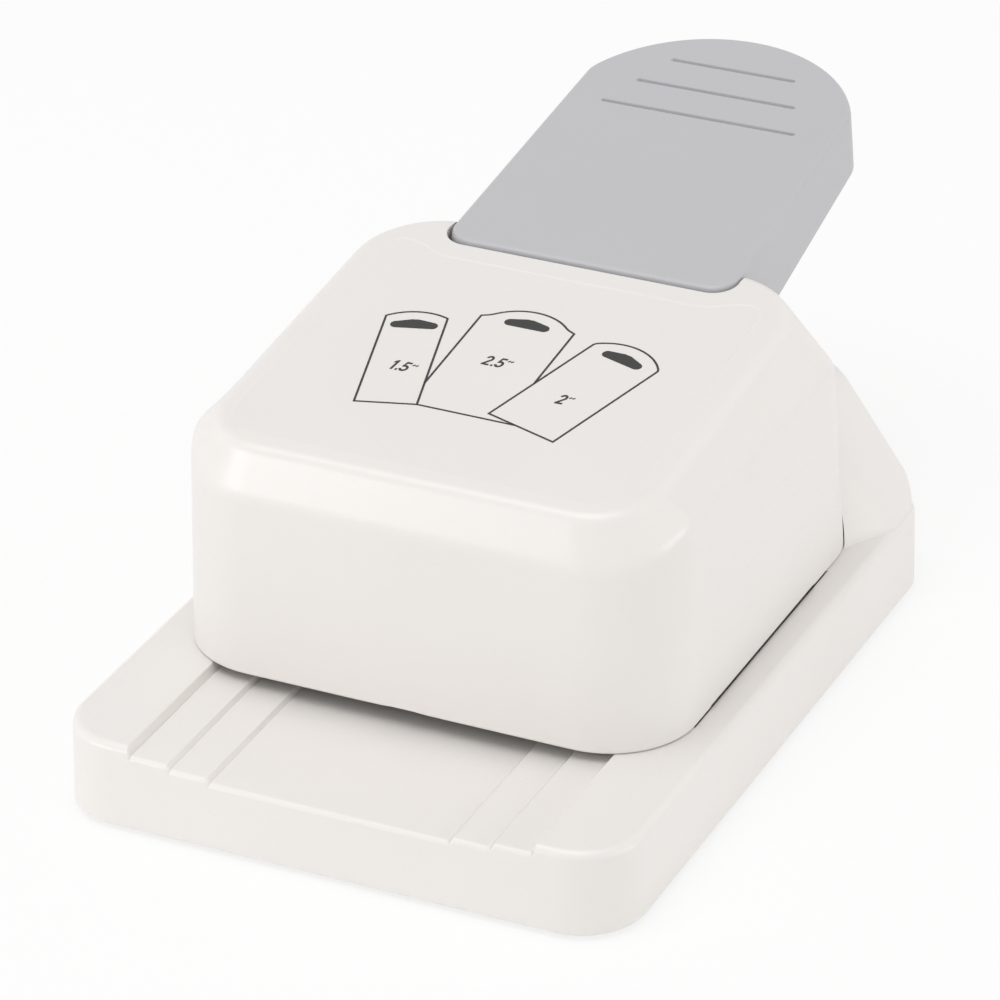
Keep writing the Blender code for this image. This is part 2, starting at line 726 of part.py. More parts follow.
def build_screws():
    middle = (DIE_FRONT + DIE_BACK) / 2
    set_seat = FRAME_BOTTOM + FRAME_THICK + GAP
    for x, y in set_screw_places():
        name = place_name("set_screw", x, y, middle)
        turned(name, screw_profile(set_seat - COVER_TOP - 2 * GAP), ZINC, (x, y, set_seat))

    cover_seat = COVER_RECESS + SCREW_HEAD_THICK
    for x, y in cover_screw_places():
        name = place_name("cover_screw", x, y, middle)
        reach = COVER_TOP + COVER_SCREW_BITE - cover_seat
        turned(name, screw_profile(reach), ZINC, (x, y, cover_seat), flip=True)

    head_seat = BASE_CEILING - GAP
    for x, y in head_screw_places():
        name = place_name("head_screw", x, y, middle)
        reach = HEAD_BOTTOM + HEAD_SCREW_BITE - head_seat
        turned(name, screw_profile(reach), ZINC, (x, y, head_seat), flip=True)

    carrier_seat = CARRIER_TOP + GAP
    for side, word in SIDE_NAMES.items():
        place = (side * CARRIER_SCREW_X, carrier_screw_y(), carrier_seat)
        reach = carrier_seat - BLADE_TOP + CARRIER_SCREW_BITE
        turned(f"carrier_screw_{word}", screw_profile(reach), ZINC, place, parent=PUNCH_SLIDE)


# Punch and die set


def topper_edge(grow):
    """The cutting edge of a tag's top: an arc, a small shoulder each side, then straight out."""
    half = PUNCH_HALF + grow
    radius = ARC_RADIUS - grow
    reach = math.degrees(math.asin(ARC_HALF / ARC_RADIUS))
    centre = APEX - ARC_RADIUS
    curve = arc(0.0, centre, radius, 90 - reach, 90, 2 * CORNER_STEPS)
    flat = TOPPER_FRONT - grow
    right = [(half, flat), (ARC_HALF + SHOULDER_RUN, flat)] + curve
    return right + mirrored_x(right[:-1])


def topper_outline(grow):
    half = PUNCH_HALF + grow
    back = TOPPER_BACK + grow
    return topper_edge(grow) + [(-half, back), (half, back)]


def hole_outline(grow):
    """The hanging hole: a flat front, round ends and a point towards the tag's top."""
    half = HOLE_WIDTH / 2 + grow
    front = HOLE_MIDDLE - HOLE_DEPTH / 2 - grow
    back = HOLE_MIDDLE + HOLE_DEPTH / 2 + grow
    end = HOLE_END + grow
    right = arc(half - end, front + end, end, -90, 60, CORNER_STEPS)
    right.append((HOLE_END, back))
    return right + mirrored_x(right)


def set_outline():
    return rounded_box(DIE_HALF, DIE_FRONT, DIE_BACK, GUIDE_THICK, steps=1)


def set_bores():
    return [circle(x, y, SCREW_RADIUS + GAP) for x, y in set_screw_places()]


def build_die_set():
    openings = [topper_outline(PUNCH_PLAY), hole_outline(PUNCH_PLAY)]
    die = [set_outline()] + openings + set_bores()
    finish("die_plate", plate_mesh("die_plate", die, DIE_BOTTOM, CHANNEL_FLOOR), STEEL)

    posts = [circle(side * POST_X, POST_Y, POST_RADIUS + GAP) for side in SIDE_NAMES]
    guide = [set_outline()] + openings + set_bores() + posts
    finish("guide_plate", plate_mesh("guide_plate", guide, GUIDE_BOTTOM, GUIDE_TOP), STEEL)

    for side, word in SIDE_NAMES.items():
        inner, outer = sorted((side * CHANNEL_HALF, side * DIE_HALF))
        strip = [(inner, DIE_FRONT), (outer, DIE_FRONT), (outer, DIE_BACK), (inner, DIE_BACK)]
        bores = [circle(x, y, SCREW_RADIUS + GAP) for x, y in set_screw_places() if x * side > 0]
        name = f"guide_spacer_{word}"
        mesh = plate_mesh(name, [strip] + bores, CHANNEL_FLOOR + GAP, GUIDE_BOTTOM - GAP)
        finish(name, mesh, ZINC)

    for side, word in SIDE_NAMES.items():
        name = f"guide_post_{word}"
        rod = upright(side * POST_X, POST_Y, GUIDE_BOTTOM, CARRIER_TOP + POST_ABOVE, POST_RADIUS)
        finish(name, rods_mesh(name, [rod]), STEEL)


def build_punches():
    blade = plate_mesh("topper_punch", [topper_outline(0.0)], TIP_HEIGHT, BLADE_TOP)
    topper = finish("topper_punch", blade, STEEL, PUNCH_SLIDE)
    depth = BLADE_TOP - CARRIER_SCREW_BITE - GAP
    y = carrier_screw_y()
    above = BLADE_TOP + OVERRUN
    bores = [upright(side * CARRIER_SCREW_X, y, depth, above, SCREW_RADIUS + GAP) for side in SIDE_NAMES]
    combine(topper, helper("blade_bores", rods_mesh("blade_bores", bores), PUNCH_SLIDE), "DIFFERENCE")

    pin = plate_mesh("hole_punch", [hole_outline(0.0)], TIP_HEIGHT, BLADE_TOP)
    hole_punch = finish("hole_punch", pin, STEEL, PUNCH_SLIDE)
    shank_bottom, shank_top = BLADE_TOP - GUIDE_THICK, CARRIER_TOP - GUIDE_THICK
    shank = upright(0.0, shank_y(), shank_bottom, shank_top, HOLE_SHANK - GAP)
    combine(hole_punch, helper("hole_shank", rods_mesh("hole_shank", [shank]), PUNCH_SLIDE), "UNION")


def shank_y():
    """The middle of the hole punch's round shank, flush with the punch's front."""
    return HOLE_MIDDLE - HOLE_DEPTH / 2 + HOLE_SHANK


def carrier_screw_y():
    """Midway between the cutting arc and the back of the punch, at the carrier screws."""
    on_arc = APEX - ARC_RADIUS + math.sqrt(ARC_RADIUS**2 - CARRIER_SCREW_X**2)
    return (on_arc + TOPPER_BACK) / 2


def build_carrier():
    low = (-CARRIER_HALF, CARRIER_START, CARRIER_BOTTOM)
    high = (CARRIER_HALF, CARRIER_END, CARRIER_TOP)
    carrier = finish("punch_carrier", box_mesh("punch_carrier", low, high), ZINC, PUNCH_SLIDE)
    low = (-BOSS_HALF, PIN_Y - BOSS_DEPTH / 2, CARRIER_TOP - GUIDE_THICK)
    high = (BOSS_HALF, PIN_Y + BOSS_DEPTH / 2, BOSS_TOP)
    combine(carrier, helper("carrier_boss", box_mesh("carrier_boss", low, high), PUNCH_SLIDE), "UNION")
    below, above = CARRIER_BOTTOM - OVERRUN, CARRIER_TOP + OVERRUN
    holes = [upright(side * POST_X, POST_Y, below, above, POST_RADIUS + GAP) for side in SIDE_NAMES]
    y = carrier_screw_y()
    holes += [upright(side * CARRIER_SCREW_X, y, below, above, SCREW_RADIUS + GAP) for side in SIDE_NAMES]
    holes.append(upright(0.0, shank_y(), below, CARRIER_TOP - GUIDE_THICK + GAP, HOLE_SHANK))
    combine(carrier, helper("carrier_holes", rods_mesh("carrier_holes", holes), PUNCH_SLIDE), "DIFFERENCE")


def build_springs():
    """A return spring round each guide post, between the guide plate and the carrier."""
    low = GUIDE_TOP + GAP + SPRING_WIRE
    high = CARRIER_BOTTOM - GAP - SPRING_WIRE
    count = SPRING_TURNS * SPRING_POINTS_A_TURN
    rise = (high - low) / count
    for side, word in SIDE_NAMES.items():
        wire = bpy.data.curves.new(f"return_spring_{word}", "CURVE")
        wire.dimensions = "3D"
        wire.bevel_depth = SPRING_WIRE
        wire.bevel_resolution = 1
        wire.use_fill_caps = True
        spline = wire.splines.new("POLY")
        spline.points.add(count)
        for k, point in enumerate(spline.points):
            turn = 2 * math.pi * k / SPRING_POINTS_A_TURN
            x = side * POST_X + SPRING_COIL * math.cos(turn)
            y = POST_Y + SPRING_COIL * math.sin(turn)
            point.co = (x, y, low + rise * k, 1.0)
        made = bpy.data.objects.new(f"return_spring_{word}", wire)
        wire.materials.append(STEEL)
        made.parent = ROOT
        PARTS.objects.link(made)
    pitch = (high - low) / SPRING_TURNS
    print("least gap between a spring's turns, mm:", round((pitch - 2 * SPRING_WIRE) * 1000, 2))


# Frame, axle and lever


def frame_outline():
    """A side of the frame, (back, up), with an arch over the punch."""
    arch_front, arch_back = TOPPER_FRONT - ARCH_MARGIN, TOPPER_BACK + ARCH_MARGIN
    arch_top = BLADE_TOP + ARCH_TOP_UP
    leg_top = FRAME_BOTTOM + REAR_LEG_HEIGHT
    eye = arc(AXLE_Y, AXLE_HEIGHT, AXLE_EYE, 70, 180, CORNER_STEPS)
    return [
        (DIE_FRONT, FRAME_BOTTOM),
        (arch_front, FRAME_BOTTOM),
        (arch_front, arch_top),
        (arch_back, arch_top),
        (arch_back, FRAME_BOTTOM),
        (DIE_BACK, FRAME_BOTTOM),
        (DIE_BACK, leg_top),
        (DIE_BACK - REAR_SLOPE_RUN, leg_top + REAR_SLOPE_RISE),
    ] + eye


def build_frame():
    for side, word in SIDE_NAMES.items():
        low, high = sorted((side * FRAME_INNER, side * FRAME_OUTER))
        name = f"frame_side_{word}"
        eye = circle(AXLE_Y, AXLE_HEIGHT, AXLE_RADIUS + GAP, PIN_SIDES)
        frame = finish(name, plate_mesh(name, [frame_outline(), eye], low, high, UPRIGHT), ZINC)
        starts = (DIE_FRONT, DIE_BACK - TAB_LENGTH)
        screws = [place for place in set_screw_places() if place[0] * side > 0]
        inner, outer = sorted((side * (FRAME_INNER + GAP), side * DIE_HALF))
        for start, (screw_x, screw_y) in zip(starts, screws):
            tab = [(inner, start), (outer, start), (outer, start + TAB_LENGTH), (inner, start + TAB_LENGTH)]
            bore = circle(screw_x, screw_y, SCREW_RADIUS + GAP)
            shape = plate_mesh(name + "_tab", [tab, bore], FRAME_BOTTOM, FRAME_BOTTOM + FRAME_THICK)
            combine(frame, helper(name + "_tab", shape), "UNION")


def build_axle():
    end = FRAME_OUTER + GAP + CLIP_THICK + AXLE_END
    rod = crossing(AXLE_Y, AXLE_HEIGHT, -end, end, AXLE_RADIUS)
    finish("axle_pin", rods_mesh("axle_pin", [rod], "X", PIN_SIDES), STEEL)
    hub_end = ARM_INNER + ARM_THICK + GAP
    for side, word in SIDE_NAMES.items():
        bore = circle(AXLE_Y, AXLE_HEIGHT, AXLE_RADIUS + GAP, PIN_SIDES)
        low, high = sorted((side * (FRAME_OUTER + GAP), side * (FRAME_OUTER + GAP + CLIP_THICK)))
        clip = [circle(AXLE_Y, AXLE_HEIGHT, CLIP_RADIUS, PIN_SIDES), bore]
        finish(f"axle_clip_{word}", plate_mesh("axle_clip", clip, low, high, UPRIGHT), STEEL)
        low, high = sorted((side * (hub_end + GAP), side * (FRAME_INNER - GAP)))
        bush = [circle(AXLE_Y, AXLE_HEIGHT, BUSH_RADIUS, PIN_SIDES), bore]
        finish(f"axle_bush_{word}", plate_mesh("axle_bush", bush, low, high, UPRIGHT), NYLON)


def lever_outline(grow):
    """The lever from above: a straight front, sides that draw in a little and a round tail."""
    tail_centre = LEVER_END - LEVER_TAIL_RADIUS
    shoulder_x = LEVER_HALF_TAIL - LEVER_SHOULDER
    shoulder_y = tail_centre + math.sqrt((LEVER_TAIL_RADIUS - LEVER_SHOULDER) ** 2 - shoulder_x**2)
    turn = math.degrees(math.atan2(shoulder_y - tail_centre, shoulder_x))
    corner = LEVER_FRONT_CORNER
    right = arc(LEVER_HALF_FRONT - corner, LEVER_FRONT + corner, corner + grow, -90, 0, CORNER_STEPS)
    right += arc(shoulder_x, shoulder_y, LEVER_SHOULDER + grow, 0, turn, CORNER_STEPS)
    right += arc(0.0, tail_centre, LEVER_TAIL_RADIUS + grow, turn, 90, 2 * CORNER_STEPS)[1:]
    return right + mirrored_x(right[:-1])


def lever_skin():
    rings = [
        level(lever_outline(LEVER_FLARE), lambda x, y: lever_bottom(y)),
        level(lever_outline(0.0), lambda x, y: lever_height(y)),
        level(lever_outline(-LEVER_INSET), lambda x, y: lever_height(y)),
    ]
    return loft_mesh("lever", soft_rings(rings, [LEVER_EDGE]))


def lever_room():
    drop = LEVER_WALL / math.cos(math.atan(LEVER_SLOPE))
    rings = [
        level(lever_outline(LEVER_FLARE - LEVER_WALL), lambda x, y: lever_bottom(y) - OVERRUN),
        level(lever_outline(-LEVER_WALL), lambda x, y: lever_height(y) - drop),
    ]
    return loft_mesh("lever_room", rings)


def arm_outline():
    """One of the lever's two arms, (back, up): from the axle, under the head's top, into the lever."""
    under_lip = plateau_height(SLOT_START) - HEAD_WALL / math.cos(math.atan(PLATEAU_SLOPE)) - 2 * GAP
    inside = LEVER_FRONT + LEVER_WALL
    skin = LEVER_WALL / 2
    pin_y, pin_z = PIN_Y, PIN_HEIGHT
    around = PIN_RADIUS + GAP + skin
    hub_top = AXLE_HEIGHT + HUB_RADIUS
    front_top = under_lip - PLATEAU_SLOPE * (SLOT_START - AXLE_Y) - HUB_RADIUS / 2
    tail = inside + LEVER_FRONT_DEPTH
    return [
        (AXLE_Y, AXLE_HEIGHT - HUB_RADIUS + skin),
        (pin_y - around, pin_z - around),
        (pin_y + around, pin_z - around),
        (inside + skin, lever_bottom(LEVER_FRONT) - skin),
        (tail, lever_bottom(tail) + skin),
        (tail, lever_height(tail) - skin),
        (inside + skin, lever_height(inside) - skin),
        (inside + skin, under_lip - GAP),
        (SLOT_START, under_lip - GAP),
        (AXLE_Y + HUB_RADIUS, min(front_top, hub_top)),
        (AXLE_Y, hub_top - skin),
    ]


def build_lever():
    lever = finish("lever", lever_skin(), GREY, LEVER_AXIS)
    combine(lever, helper("lever_room", lever_room(), LEVER_AXIS), "DIFFERENCE")
    pin_bore = circle(PIN_Y, PIN_HEIGHT, PIN_RADIUS + GAP, PIN_SIDES)
    outer = ARM_INNER + ARM_THICK
    for side, word in SIDE_NAMES.items():
        low, high = sorted((side * ARM_INNER, side * outer))
        arm = plate_mesh("arm", [arm_outline(), pin_bore], low, high, UPRIGHT)
        combine(lever, helper(f"arm_{word}", arm, LEVER_AXIS), "UNION")
    web_y = AXLE_Y + HUB_RADIUS / 2
    web_low = (-ARM_INNER - ARM_THICK / 2, web_y, AXLE_HEIGHT)
    web_high = (ARM_INNER + ARM_THICK / 2, PIN_Y - PIN_RADIUS - ARM_THICK, AXLE_HEIGHT + WEB_THICK)
    combine(lever, helper("arm_web", box_mesh("arm_web", web_low, web_high), LEVER_AXIS), "UNION")
    hub_end = outer + GAP
    hub = rods_mesh("hub", [crossing(AXLE_Y, AXLE_HEIGHT, -hub_end, hub_end, HUB_RADIUS)], "X", PIN_SIDES)
    combine(lever, helper("hub", hub, LEVER_AXIS), "UNION")
    reach = outer + OVERRUN
    rod = crossing(AXLE_Y, AXLE_HEIGHT, -reach, reach, AXLE_RADIUS + GAP)
    bore = rods_mesh("hub_bore", [rod], "X", PIN_SIDES)
    combine(lever, helper("hub_bore", bore, LEVER_AXIS), "DIFFERENCE")
    for k in range(GROOVE_COUNT):
        y = LEVER_END - GROOVE_LAST_INSET - GROOVE_PITCH * k
        half = GROOVE_LAST_HALF + GROOVE_GROWTH * k
        low = (-half, y - GROOVE_WIDTH / 2, lever_height(y) - GROOVE_DEEP)
        high = (half, y + GROOVE_WIDTH / 2, lever_height(y) + OVERRUN)
        combine(lever, helper(f"groove_{k + 1}", box_mesh("groove", low, high), LEVER_AXIS), "DIFFERENCE")

    pin = rods_mesh("press_pin", [crossing(PIN_Y, PIN_HEIGHT, -outer, outer, PIN_RADIUS)], "X", PIN_SIDES)
    finish("press_pin", pin, STEEL, LEVER_AXIS)


# Head cover


def head_outline(shrink, inset_side, inset_front, inset_back, corner_front, corner_back):
    return rounded_box(
        HEAD_HALF - inset_side - shrink,
        PLATFORM + inset_front + shrink,
        HEAD_BACK - inset_back - shrink,
        corner_front - shrink,
        corner_back - shrink,
    )


def eased(share):
    share = min(max(share, 0.0), 1.0)
    return share * share * (3 - 2 * share)


def shoulder_level(x, y):
    """The lower edge of the bevel round the head's top: high along the sides, lower at the front and rear."""
    front = 1 - eased((y - PLATFORM) / HEAD_CORNER_FRONT)
    rear = 1 - eased((HEAD_BACK - HEAD_REAR_LEAN - y) / HEAD_CORNER_REAR)
    front_drop = (SHOULDER_HEIGHT_SIDE - SHOULDER_HEIGHT_FRONT) * front
    return SHOULDER_HEIGHT_SIDE - front_drop - (SHOULDER_HEIGHT_SIDE - SHOULDER_HEIGHT_REAR) * rear


def head_body(name, shrink, extra):
    """The outside of the head, or the room in it when shrunk by a wall and run past its bottom edge."""
    side, front, back = PLATEAU_SIDE_INSET, PLATEAU_SETBACK, PLATEAU_REAR_INSET
    inner = PANEL_INSET
    drop = shrink / math.cos(math.atan(PLATEAU_SLOPE))
    wall = head_outline(shrink, 0.0, 0.0, 0.0, HEAD_CORNER_FRONT, HEAD_CORNER_REAR)
    shoulder = head_outline(shrink, HEAD_DRAFT, HEAD_DRAFT, HEAD_REAR_LEAN, HEAD_CORNER_FRONT, HEAD_CORNER_REAR)
    edge = head_outline(shrink, side, front, back, PLATEAU_CORNER_FRONT, PLATEAU_CORNER_REAR)
    corners = PLATEAU_CORNER_FRONT - inner, PLATEAU_CORNER_REAR - inner
    panel = head_outline(shrink, side + inner, front + inner, back + inner, *corners)
    rings = [
        level(wall, HEAD_BOTTOM - extra),
        level(shoulder, lambda x, y: shoulder_level(x, y) - drop),
        level(edge, lambda x, y: plateau_height(y) - PLATEAU_EDGE_DROP - drop),
        level(panel, lambda x, y: plateau_height(y) - drop),
    ]
    return loft_mesh(name, soft_rings(rings, [SHOULDER_SOFT, PLATEAU_SOFT]))


def lever_slot():
    """The slot that the lever moves in, wider below as the lever's sides are."""
    lean = LEVER_FLARE / LEVER_FRONT_DEPTH

    def ring(height):
        half = LEVER_HALF_FRONT + LEVER_PLAY + lean * (LEVER_FRONT_HEIGHT - height)
        return level(rounded_box(half, SLOT_START, HEAD_BACK + OVERRUN, SLOT_CORNER, GAP), height)

    return loft_mesh("lever_slot", [ring(SLOT_BOTTOM), ring(PLATEAU_HEIGHT_REAR + OVERRUN)])


def build_head():
    head = finish("head_cover", head_body("head_cover", 0.0, 0.0), WHITE)
    combine(head, helper("head_room", head_body("head_room", HEAD_WALL, OVERRUN)), "DIFFERENCE")
    combine(head, helper("lever_slot", lever_slot()), "DIFFERENCE")
    low = (-THUMB_NOTCH_WIDTH / 2, PLATFORM - OVERRUN, HEAD_BOTTOM - OVERRUN)
    high = (THUMB_NOTCH_WIDTH / 2, PLATFORM + HEAD_WALL + OVERRUN, HEAD_BOTTOM + THUMB_NOTCH_HEIGHT)
    combine(head, helper("front_notch", box_mesh("front_notch", low, high)), "DIFFERENCE")
    boss_top = HEAD_BOTTOM + HEAD_BOSS_HEIGHT
    bosses = [upright(x, y, HEAD_BOTTOM, boss_top, HEAD_BOSS_RADIUS) for x, y in head_screw_places()]
    combine(head, helper("head_bosses", rods_mesh("head_bosses", bosses)), "UNION")
    depth = HEAD_BOTTOM + HEAD_SCREW_BITE + GAP
    bore = SCREW_RADIUS + GAP
    bores = [upright(x, y, HEAD_BOTTOM - OVERRUN, depth, bore) for x, y in head_screw_places()]
    combine(head, helper("boss_bores", rods_mesh("boss_bores", bores)), "DIFFERENCE")


build_base()
build_bottom_cover()
build_feet()
build_die_set()
build_carrier()
build_punches()
build_springs()
build_frame()
build_axle()
build_lever()
build_screws()
build_head()
print("press angle, degrees:", round(math.degrees(PRESS_ANGLE), 2))
print("punch travel, mm:", round(PUNCH_TRAVEL * 1000, 2))
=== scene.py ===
import json
import math

import bmesh
import bpy
from mathutils import Matrix, Vector


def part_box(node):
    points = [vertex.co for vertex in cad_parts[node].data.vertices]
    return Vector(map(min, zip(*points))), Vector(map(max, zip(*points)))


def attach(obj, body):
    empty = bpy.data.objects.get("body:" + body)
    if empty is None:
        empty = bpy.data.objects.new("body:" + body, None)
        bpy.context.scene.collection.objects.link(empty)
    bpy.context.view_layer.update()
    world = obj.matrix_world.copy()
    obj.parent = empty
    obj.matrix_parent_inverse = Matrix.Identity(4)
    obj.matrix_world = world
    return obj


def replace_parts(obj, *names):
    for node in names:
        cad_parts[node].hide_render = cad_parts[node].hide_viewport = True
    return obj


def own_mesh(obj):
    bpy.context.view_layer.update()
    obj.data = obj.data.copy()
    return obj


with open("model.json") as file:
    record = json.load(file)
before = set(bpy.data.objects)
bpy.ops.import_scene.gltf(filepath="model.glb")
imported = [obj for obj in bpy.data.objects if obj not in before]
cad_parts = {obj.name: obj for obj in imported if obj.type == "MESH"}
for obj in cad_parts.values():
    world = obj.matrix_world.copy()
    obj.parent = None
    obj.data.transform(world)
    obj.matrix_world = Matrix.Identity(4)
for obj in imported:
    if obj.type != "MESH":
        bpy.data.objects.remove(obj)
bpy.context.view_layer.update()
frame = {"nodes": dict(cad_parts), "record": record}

bl_info = {
    "name": "Gift tag punch",
    "version": (1, 0, 0),
    "blender": (4, 5, 0),
    "location": "3D View > Sidebar > Tag punch",
    "description": "Fine meshes, finishes, print and studio for a desk punch that cuts gift tags",
    "category": "Object",
}

MM = 0.001

# The pieces are laid out from the front bottom edge of the base, and this puts them in the frame.
BASE_LOW, BASE_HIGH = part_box("base_shell")
BENCH = Matrix.Translation((0.0, BASE_LOW.y, BASE_LOW.z))
BASE_HALF = (BASE_HIGH.x - BASE_LOW.x) / 2
BASE_LENGTH = BASE_HIGH.y - BASE_LOW.y
ENDS = ("front_left", "front_right", "rear_left", "rear_right")

# Base
RIM_HEIGHT = 13.4 * MM
RIM_ROUND = 1.3 * MM
RIM_STEPS = 9
FOOT_EDGE = 0.3 * MM
CHANNEL_STEPS = (1.42 * MM, 0.69 * MM, 0.63 * MM)
PAPER_WIDTHS = (63.5 * MM, 50.8 * MM, 38.1 * MM)
CHANNEL_BACK = 45.3 * MM
CHANNEL_ROLL = 0.75 * MM
STEP_LEAN = 0.25 * MM
STEP_GROOVE_WIDTH = 0.36 * MM
STEP_GROOVE_DEPTH = 0.2 * MM
BASE_CORNERS = (9.8 * MM, 7.6 * MM)
BASE_TAPER = 0.25 * MM
BASE_WALL = 2.2 * MM
CEILING = 7.16 * MM
CHUTE_FRONT = 68.25 * MM
CHUTE_BACK = 88.0 * MM
CHUTE_BOTTOM = 2.6 * MM
CHUTE_TOP = 10.4 * MM
CHUTE_MARGIN = 1.2 * MM
CHUTE_WALL = 1.2 * MM
POST_RADIUS = 3.0 * MM
POST_BOTTOM = 2.9 * MM
SCREW_BORE = 1.5 * MM
TRENCH = 3.4 * MM
TRENCH_ENDS = (39.0 * MM, 90.0 * MM)

# Hump. Its foot is a curve on the rim, (outwards, up) in millimetres. Its wings are the ends that reach
# forward beside the head, and narrow as they do.
HUMP_HEIGHT = 34.5 * MM
HUMP_FOOT = ((0.55, -0.05), (0.2, 0.07), (-0.15, 0.37), (-0.5, 0.8))
HUMP_FOOT_INSET = 1.0 * MM
HUMP_BACK = BASE_LENGTH - BASE_TAPER - 1.0 * MM
HUMP_RUN = 14.8 * MM
HUMP_ROUND = 8.0 * MM
HUMP_FRONT = 108.0 * MM
HUMP_TAPER = 0.5 * MM
HUMP_EDGE = 1.2 * MM
HUMP_WING = 95.0 * MM
HUMP_WING_INSET = 5.2 * MM
HUMP_WING_STEPS = 12
HUMP_TRIM = BASE_TAPER + RIM_ROUND * 0.3

# Head
HEAD_HALF = BASE_HALF - 5.1 * MM
HEAD_FRONT = 25.7 * MM
HEAD_BACK = 107.7 * MM
HEAD_WALL = 2.2 * MM
HEAD_CORNERS = (13.5 * MM, 14.0 * MM)
HEAD_DRAFT = 0.5 * MM
HEAD_LEAN = 4.5 * MM
HEAD_BEND = 1.3 * MM
HEAD_BOSS = 9.0 * MM
SHOULDER_FRONT = 42.6 * MM
SHOULDER_SIDE = 46.8 * MM
SHOULDER_REAR = 43.8 * MM
TOP_FRONT = 27.9 * MM
TOP_BACK = 94.8 * MM
TOP_LOW = 50.7 * MM
TOP_HIGH = 58.1 * MM
TOP_SLOPE = (TOP_HIGH - TOP_LOW) / (TOP_BACK - TOP_FRONT)
TOP_CORNERS = (10.0 * MM, 13.0 * MM)
TOP_SIDE_INSET = 5.1 * MM
TOP_EDGE_DROP = 0.5 * MM
BAND_INSET = 3.5 * MM
PANEL_SLOPE = 3.2  # the width of the sunk panel's edge over its depth
SLOT_FRONT = 87.7 * MM
SLOT_BOTTOM = 33.5 * MM
SLOT_CORNER = 3.9 * MM
SLOT_TURNS = (0, 11, 22, 33, 44, 55, 66, 77, 86)  # the slot's round lip, in degrees

# Lever
AXLE = Vector((0.0, 48.0 * MM, 42.0 * MM))
PRESS_PIN = Vector((0.0, 80.0 * MM, 40.5 * MM))
PIN_BORE = 2.8 * MM
HUB_RADIUS = 5.5 * MM
ARM_SIDES = (18.0 * MM, 21.0 * MM)
LEVER_FRONT = 88.6 * MM
LEVER_END = 155.2 * MM
LEVER_HALF_FRONT = 23.35 * MM
LEVER_HALF_TAIL = 22.2 * MM
LEVER_FLARE = 0.7 * MM
LEVER_TAIL_RADIUS = 23.9 * MM
LEVER_SHOULDER = 6.0 * MM
LEVER_CORNER = 4.0 * MM
LEVER_RISE = 10.5 * MM
LEVER_DEPTH_FRONT = 13.8 * MM
LEVER_DEPTH_TAIL = 9.0 * MM
LEVER_WALL = 2.0 * MM
LEVER_PLAY = 0.35 * MM
LEVER_SUNK = 0.5 * MM
THUMB_GROOVES = 3
GROOVE_FIRST = 9.3 * MM
GROOVE_PITCH = 7.15 * MM
GROOVE_HALF = 10.55 * MM
GROOVE_GROWTH = 2.9 * MM
GROOVE_WIDTH = 0.9 * MM

# Print: each tag's size in inches, the middle of its top edge (right, back), its turn in degrees, half its
# width, its length and the middle of its numerals, in millimetres on the head's top.
TAGS = {
    "tag_print_narrow": ("1.5", (-17.7, 68.2), 14.2, 4.64, 24.6, (-13.3, 54.0)),
    "tag_print_wide": ("2.5", (-1.05, 73.9), 0.0, 7.52, 28.5, (-0.8, 59.7)),
    "tag_print_middle": ("2", (17.0, 69.9), -16.9, 6.12, 25.9, (12.6, 53.9)),
}
TAG_SCALE = 0.2445  # the size of a printed tag over that of a punched one

# Studio
LENS = 196.62
CAMERA_PLACE = Vector((0.29966, -0.662158, 0.413817))
CAMERA_RIGHT = Vector((0.90732052, 0.42041432, -0.00461271))
CAMERA_UP = Vector((-0.19524836, 0.43104249, 0.88095428))
CAMERA_AHEAD = Vector((-0.37235407, 0.79840727, -0.47317890))
MIDDLE = (0.0, 0.0, 0.03)
WHITE = (1.0, 1.0, 1.0, 1.0)
SHED_LIGHT = 0.598  # the world's light on the punch, where the white that is seen is 1
FLOOR_GLOW = 0.8  # how far the floor melts into the white behind it

CORNER_STEPS = 14
BEND_STEPS = 7
GAP = 0.3 * MM
OVERRUN = 2.0 * MM

# These stand a flat outline up: one drawn as (back, up) from the side, one as (right, up) from the front.
UPRIGHT = Matrix(((0, 0, 1, 0), (1, 0, 0, 0), (0, 1, 0, 0), (0, 0, 0, 1)))
FACING = Matrix(((1, 0, 0, 0), (0, 0, -1, 0), (0, 1, 0, 0), (0, 0, 0, 1)))


def mm(size):
    return size * MM


def linear(code):
    """An sRGB hex colour as linear red, green and blue."""
    values = [int(code[k : k + 2], 16) / 255 for k in (0, 2, 4)]
    return [v / 12.92 if v <= 0.04045 else ((v + 0.055) / 1.055) ** 2.4 for v in values]


def length_prop(name, text, size):
    kind = {"precision": 5, "subtype": "DISTANCE", "unit": "LENGTH"}
    return bpy.props.FloatProperty(name=name, description=text, default=mm(size), min=0.0, **kind)


def colour_prop(part, code):
    text = {"name": part.capitalize(), "description": f"Colour of the {part}"}
    kind = {"size": 3, "min": 0.0, "max": 1.0, "subtype": "COLOR"}
    return bpy.props.FloatVectorProperty(default=linear(code), **text, **kind)


class TagPunchSizes(bpy.types.PropertyGroup):
    """Sizes of the visible details."""

    edge_round: length_prop("Moulded edge", "Radius of the moulded shells' sharp edges", 0.3)
    step_round: length_prop("Step edge", "Radius of the paper steps' upper edges", 0.22)
    seam: length_prop("Seam", "Gap under the head where it rests on the base", 0.08)
    hug: length_prop("Hump gap", "Gap between the hump and the head's back", 0.22)
    slit: length_prop("Side slit", "Height of the slit under each side of the head", 0.6)
    panel_depth: length_prop("Panel depth", "How far the panel on the top is sunk", 0.1)
    groove_depth: length_prop("Groove depth", "Depth of the thumb grooves on the lever", 0.5)
    print_line: length_prop("Print line", "Width of the printed lines", 0.34)
    print_height: length_prop("Numeral height", "Height of the printed numerals", 2.55)
    lever_lift: length_prop("Lever lift", "How much nearer the lever's front is to the head's top", 0.6)
    ink: length_prop("Ink", "How far the ink stands on the plastic", 0.03)


